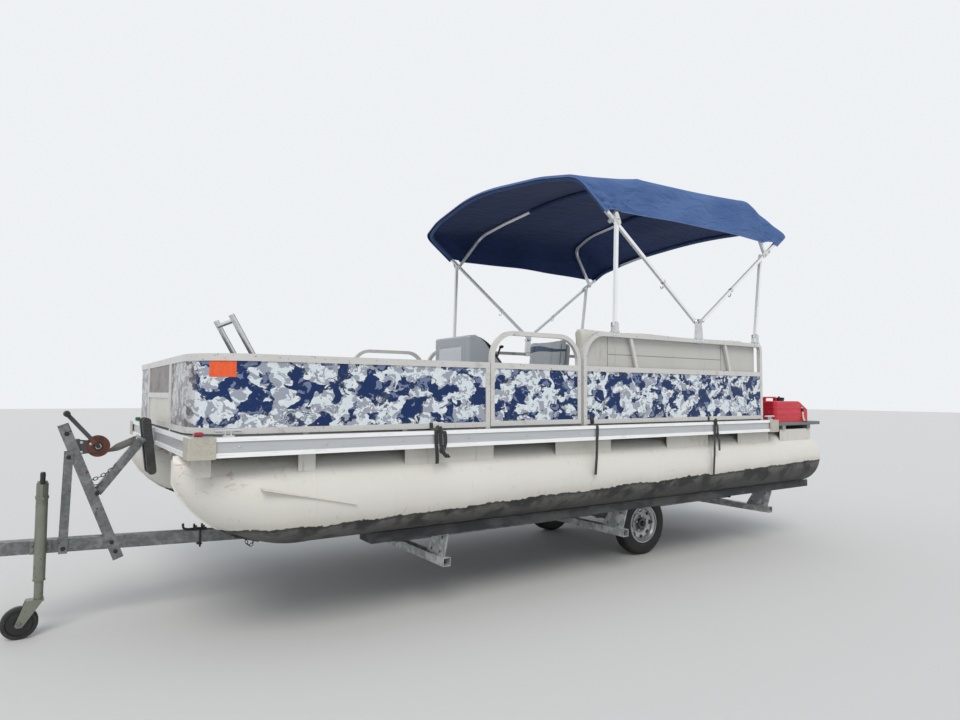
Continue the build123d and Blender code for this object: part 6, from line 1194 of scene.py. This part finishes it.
# a U-bolt over the tongue holds a plate under it, with four small lugs beside it on top, and a
# long J-hook lies there for the loose end of a tie-down
HOOP_AFT = 290
top = tongue_top(HOOP_AFT)
hoop = [(HOOP_AFT, side, top + rise) for side, rise in ((44, -104), (44, 7), (-44, 7), (-44, -104))]
plate = block((HOOP_AFT + 12, -58, top - 84), (HOOP_AFT - 12, 58, top - 77), 2)
hooks = [bent_wire(hoop, 14, 5.5, (1, 0, 0)), plate]
hooks += bolts([(HOOP_AFT, side, top - 84) for side in (44, -44)], (0, 0, -1), 9, 8)
for aft in (HOOP_AFT - 24, HOOP_AFT + 24):
    foot = tongue_top(aft) - 1
    hooks += [block((aft + 6, side - 6, foot), (aft - 6, side + 6, foot + 35), 2) for side in (30, -30)]
hook_line = [(332, 24, top + 10), (290, 24, top + 13), (212, 24, top + 13)]
hook_line += [(190, 24, top + 22), (188, 24, top + 52)]
hooks.append(bent_wire(hook_line, 18, 7.5, (0, 1, 0)))
piece("tongue_hook", hooks, black_iron)

# Bunks: two timbers covered in dark looped carpet, matted and paler in patches along their
# length.
skin = Finish("bunk_carpet", Sheen_Weight=0.15)
loops = skin.cells(330.0)
matted = skin.cloud(0.12, 6.0, across=(0.5, 1, 1)).step(0.42, 0.62)
skin.base(loops, (34, 35, 37), (58, 59, 62)).lay(matted, 0.6, (92, 93, 92)).dirty(4.0, 0.5, 0.5, (108, 100, 86))
skin.close(0.9, 1.0, loops + matted * 0.8, 0.0022, loops).on("trailer_bunks")

# Axle fittings: two U-bolts and a plate clamp each spring to the axle.
clamps = []
for side in (420, -420):
    for aft in (3746, 3814):
        hoop = [(aft, side - 31, -940), (aft, side - 31, -856), (aft, side + 31, -856), (aft, side + 31, -940)]
        clamps.append(bent_wire(hoop, 12, 5.5, (1, 0, 0)))
        clamps += bolts([(aft, side + out, -931) for out in (-31, 31)], (0, 0, -1), 9, 8)
    clamps.append(block((3834, side - 44, -931), (3726, side + 44, -923), 2))
piece("axle_clamps", clamps, zinc)

# Wheels: small radial tyres with a blocked tread on silver pressed-steel rims, each rim with
# eight windows, five nuts, a valve and a pressed grease cap.
rubber = Finish("tyre_rubber", 0.06, (22, 22, 22), (34, 34, 33), "tyre")
rubber.dirty(9.0, 0.55, 0.25, (96, 90, 78)).close(0.62, 0.92, 900.0, 0.0005)
skin = Finish("rim_paint", 0.08, (206, 207, 208), (184, 186, 188), Metallic=0.5, Coat_Weight=0.15)
skin.dirty(10.0, 0.5, 0.5, (128, 122, 110)).spotted(0.008, 5.0, 0.66, 0.7, 0.7, (120, 80, 56))
# the disc is painted darker towards its middle, in two steps, nearly black round the nuts
from_hub = skin.off_axle((-1.3, 0.0, 0.262))
skin.lay(1.0 - from_hub.step(0.125, 0.150), 0.35, (112, 110, 106))
skin.lay(1.0 - from_hub.step(0.055, 0.085), 0.8, (48, 46, 44)).close(0.3, 0.7, 700.0)
skin.on("port_rim", "starboard_rim")

AXLE_AFT, AXLE_HEIGHT, TYRE_RADIUS, BEAD_RADIUS = 3780, -898, 262.0, 157.5
TREAD_STEPS, TREAD_HALF, PITCHES, TREAD_DEPTH = 256, 44, 64, 7.0
GROOVES, RIB_LEAN = [-27.0, -9.5, 9.5, 27.0], np.array([0.10, 0.28, -0.22, 0.28, 0.10])
RIB_SHIFT = np.array([0.0, 0.33, 0.66, 0.2, 0.5])
WALL = [(160, 50), (168, 54.5), (176, 58), (186, 59.2), (190, 60.6), (193, 60.6), (197, 59.6), (212, 60.4)]
WALL += [(226, 59.0), (232, 57.8), (235, 58.6), (238, 57.6), (246, 53.5), (252, 49.5), (256, 46)]
wall_radius, wall_out = np.array(WALL, float).T
NUT = [(0, -4), (12, -4), (12, 2), (10.5, 5), (10.5, 14), (8, 17), (0, 18)]
GREASE_CAP = [(0, 19), (10, 18.5), (19, 15), (23, 9), (24, 0), (24, -6), (0, -6)]
STEM = [(0, 0), (5.5, 0), (5, 10), (4, 12), (4, 26), (4.6, 27), (4.6, 34), (0, 35)]
turn = np.linspace(0, 2 * math.pi, TREAD_STEPS, endpoint=False)[:, None]
pitches = turn / (2 * math.pi) * PITCHES
crown_line = np.linspace(-TREAD_HALF, TREAD_HALF, 45)
# four grooves run round; the ribs between them are cut across into blocks, each row askew
off_groove = np.min(np.abs(crown_line - np.array(GROOVES)[:, None]), axis=0)
rib = np.digitize(crown_line, GROOVES)
lean = RIB_LEAN[rib] * crown_line / 20 + RIB_SHIFT[rib]
rib_share = np.where((rib == 0) | (rib == 4), 0.75, 0.6)


def slot_across(share):
    """How deep a cut across the tread is, from 0 to 1, at a share of a pitch."""
    return np.clip((0.13 - np.abs(share % 1.0 - 0.5)) / 0.05, 0, 1)


cuts = np.maximum(np.clip((3.2 - off_groove) / 1.4, 0, 1), slot_across(pitches + lean) * rib_share)
tread = TYRE_RADIUS - 2.2 * (crown_line / TREAD_HALF) ** 2 - TREAD_DEPTH * cuts
shoulder = wall_radius - 3.0 * slot_across(pitches) * np.clip((wall_radius - 243) / 12, 0, 1)
inner = np.full((TREAD_STEPS, 2), BEAD_RADIUS)
offset = np.concatenate([[-20, -49.5], -wall_out, crown_line, wall_out[::-1], [49.5, 20]])
for side, name in ((1, "port"), (-1, "starboard")):
    body = f"{name}_wheel"
    radius = np.concatenate([inner, shoulder, tread[:, ::side], shoulder[:, ::-1], inner], axis=1)
    ring = at(AXLE_AFT - radius * np.cos(turn), side * (600 + offset), AXLE_HEIGHT + radius * np.sin(turn))
    tyre = piece(f"{name}_treaded_tyre", [skinned(ring, True, True)], rubber, body, sharp=34)
    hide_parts(f"{name}_tyre")
    circle = np.linspace(0.3, 0.3 + 2 * math.pi, 5, endpoint=False)
    spots = at(AXLE_AFT + 64 * np.cos(circle), side * 616.5, AXLE_HEIGHT + 64 * np.sin(circle))
    piece(f"{name}_wheel_nuts", studs(NUT, spots, 6), screw_steel, body, 25)
    cap = turned(GREASE_CAP, at(AXLE_AFT, side * 640, AXLE_HEIGHT), (0, side, 0), 32)
    piece(f"{name}_grease_cap", [cap], black_iron, body)
    stem = turned(STEM, at(AXLE_AFT + 128, side * 617, AXLE_HEIGHT), (0.35, side, 0), 14)
    piece(f"{name}_valve", [stem], black_plastic, body)

# Coupler, jack and its caster: cast and welded steel, plated pale grey-green and now rusting at
# the edges; the crank's grip and the caster wheel are black plastic.
plated = Finish("plated_steel", 0.1, (138, 140, 128), (112, 115, 104), "silver_paint", Metallic=0.35)
plated.dirty(9.0, 0.45, 0.55, (104, 96, 82)).spotted(0.02, 6.0, 0.63, 0.67, 0.7, (116, 74, 48))
plated.close(0.36, 0.85, 500.0, 0.0005).on("jack", "jack_caster")
black_plastic.on("jack_wheel")
GRIP = [(8.2, -34), (12, -33), (14, -20), (13.2, 0), (14, 20), (12, 33), (8.2, 34)]
piece("jack_grip", [turned(GRIP, at(-575, 157, -266), (0, 0, 1), 24, True)], black_plastic)
spots = [(aft, 75.4, height) for aft in (-612, -538) for height in (-652, -682)]
piece("jack_bolts", bolts(spots, (0, 1, 0), 7, 6), zinc)
fork_bolts = bolts([(-660, 127.4, -1070)], (0, 1, 0), 9, 7) + bolts([(-660, 62.6, -1070)], (0, -1, 0), 9, 7)
piece("caster_fork_bolts", fork_bolts, zinc, "jack_caster")
collars = [turned([(30.3, -3), (33, -2), (33, 2), (30.3, 3)], at(-575, 95, -846), (0, 0, 1), 32, True)]
collars += [turned([(30.3, -8), (34, -8), (34, 8), (30.3, 8)], at(-575, 95, -380), (0, 0, 1), 32, True)]
piece("jack_collars", collars, plated)
lock = bent_wire([(-815, 36, -640), (-815, 56, -640), (-800, 58, -664), (-800, 36, -664)], 8, 3, (1, 0, 0))
coupler_bolts = bolts([(aft, 38.4, -660) for aft in (-880, -850)], (0, 1, 0), 8, 7)
piece("coupler_pin", [lock] + coupler_bolts, screw_steel)

# Winch: a pressed steel frame painted red, most of the paint gone to brown rust, with a roll of
# grey strap on its spool and one taut run out to the bow; the crank has a black plastic grip.
DRUM_AFT, DRUM_HEIGHT = -300, -106
skin = Finish("winch_paint", Metallic=0.1)
skin.base(skin.cloud(0.03, 5.0), (88, 48, 36), (108, 60, 44)).dirty(14.0, 0.75, 0.8, (66, 50, 42))
# the frame's plates and the crank lost their red and went black, only the drum still shows it
from_drum = skin.off_axle(at(DRUM_AFT, 0, DRUM_HEIGHT).tolist())
skin.colour = skin.mix(from_drum.step(0.026, 0.032), (52, 46, 44), skin.colour)
skin.lay(from_drum.step(0.0640, 0.0650), 1, skin.mix(skin.soil, (70, 70, 72), (92, 82, 74)))
skin.close(0.5, 0.92, 350.0, 0.0007).on("winch")
grey_webbing = skin = Finish("grey_webbing", slot="bunk_carpet")
weft = skin.wave(160.0)
skin.base(weft, (112, 110, 106), (150, 148, 142)).dirty(14.0, 0.6, 0.6, (92, 74, 58))
skin.close(0.82, 0.96, weft, 0.0006)
# a wound strap is an even spiral: its radius grows a little each turn
TURNS, LEAVES_AT, ROLL_RADIUS, ROLL_THICK = 4.5, math.radians(156), 41.5, 12.5
spin = np.linspace(0, 2 * math.pi * TURNS, 181)
swing, reach = LEAVES_AT + spin[-1] - spin, ROLL_RADIUS + ROLL_THICK * spin / spin[-1]
spiral = at(DRUM_AFT + reach * np.sin(swing), 0, DRUM_HEIGHT + reach * np.cos(swing))
outward = np.stack([-np.sin(swing), 0 * swing, np.cos(swing)], axis=-1)
# the free run leaves the roll from below and turns edge up on its way to the bow
out = np.linspace(0, 1, 16)[1:, None]
tail = spiral[-1] + (at(-90, 0, -70) - spiral[-1]) * out
twist = np.radians(78) * np.clip(out / 0.45, 0, 1) ** 1.5
turned_face = np.cos(twist) * outward[-1] + np.sin(twist) * np.array([0, 1.0, 0])
run, faces_out = np.concatenate([spiral, tail]), np.concatenate([outward, turned_face])
piece("winch_strap", [carried(run, slab(2.4, 46, 0.8, 2), faces_out)], grey_webbing, sharp=60)
snap = [(-92, 0, -70), (-72, 0, -62), (-56, 0, -66), (-60, 0, -84), (-80, 0, -86)]
bale = [(-92, 2, -46), (-82, 2, -46), (-76, 2, -62), (-76, 2, -76), (-82, 2, -94), (-92, 2, -94), (-92, 2, -46)]
snap_and_bale = [bent_wire(snap, 12, 5.5, (0, 1, 0)), bent_wire(bale, 6, 3, (0, 1, 0))]
piece("strap_hook", snap_and_bale, screw_steel)
HANDLE = [(0, 56), (14, 55), (18, 48), (17, 10), (19, -40), (17, -52), (12, -56), (0, -56)]
piece("crank_grip", [turned(HANDLE, at(-470, 112, 95), (0, 1, 0), 24)], black_plastic)
winch_bolts = bolts([(DRUM_AFT, 36, DRUM_HEIGHT)], (0, 1, 0), 12, 6)
plate_bolts = [(-388, 35.4, -80), (-388, 35.4, -138), (-340, 35.4, -90)]
piece("winch_bolts", winch_bolts + bolts(plate_bolts, (0, 1, 0), 6, 5), screw_steel)


def chain(line):
    """Welded links along a line in millimetres: each a racetrack of round wire, turned a quarter
    from the last, and spaced so that they hang in each other."""
    gauge, long, wide = 2.6, 26.0, 17.0
    steps = np.concatenate([[0], np.cumsum(np.linalg.norm(np.diff(line, axis=0), axis=1))])
    places = np.linspace(0, steps[-1], int(steps[-1] / (long - 2 * gauge)))
    middles = np.column_stack([np.interp(places, steps, line[:, k]) for k in range(3)])
    ways = np.gradient(middles, axis=0)
    ways /= np.linalg.norm(ways, axis=1, keepdims=True)
    angle = np.linspace(0, 2 * math.pi, 16, endpoint=False)[:, None]
    flat_run = (long - wide) / 2 * np.sign(np.cos(angle)) + wide / 2 * np.cos(angle)
    links = []
    for number, (middle, way) in enumerate(zip(middles, ways, strict=True)):
        side = np.cross(way, (0.13, 1.0, 0.21))
        side /= np.linalg.norm(side)
        if number % 2:
            side = np.cross(way, side)
        ring = middle + flat_run * way + wide / 2 * np.sin(angle) * side
        links.append(carried(at(*ring.T), wire(5, gauge), np.cross(way, side) * (-1, 1, 1) + 1e-4, True))
    return links


# Safety chain: looped over the stand and hooked on the strap, with its spare end hanging; a
# second one hangs under the tongue.
share = np.linspace(0, 1, 30)
sag = 4 * share * (1 - share)
first = np.column_stack([-352 + 248 * share, 34 - 30 * share, -310 + 208 * share - 46 * sag])
second = np.column_stack([-352 + 70 * share, 34 - 8 * share, -310 - 26 * np.sin(share * 3.1) - 18 * share])
third = np.column_stack([560 + 96 * share, 41 + 0 * share, -688 - 4 * share - 120 * sag])
piece("safety_chain", chain(first) + chain(second) + chain(third), black_iron, sharp=50)

# Bow stop: two long moulded rubber pads, dull black with a worn face.
skin = Finish("pad_rubber", 0.05, (44, 44, 46), (60, 60, 62)).dirty(8.0, 0.6, 0.5, (96, 94, 90))
skin.close(0.6, 0.9, skin.soil + skin.wave(16.0, "Z") * 0.6, 0.0012).on("bow_stop_pads")
pad_bolts = [ring for side in (1, -1) for ring in bolts([(-64, side * 85.5, -75)], (0, side, 0), 11, 8)]
piece("pad_bolts", pad_bolts, zinc)

# Tail lamps: a plain red lens in a black housing on each rail's end, wired inside the tube.
lamp_lens = Finish("lamp_lens", slot="red_plastic", Coat_Weight=0.5, Coat_Roughness=0.1)
prisms = lamp_lens.cells(150.0)
lamp_lens.base(prisms, (150, 14, 22), (196, 30, 36)).close(0.12, 0.35, prisms, 0.0008, prisms)
sides = (420, -420)
housings = [block((5276, side - 42, -822), (5250.5, side + 42, -742), 5) for side in sides]
piece("tail_lamp_housings", housings, black_plastic)
lenses = [block((5288, side - 38, -818), (5274, side + 38, -746), 6) for side in sides]
piece("tail_lamp_lenses", lenses, lamp_lens)
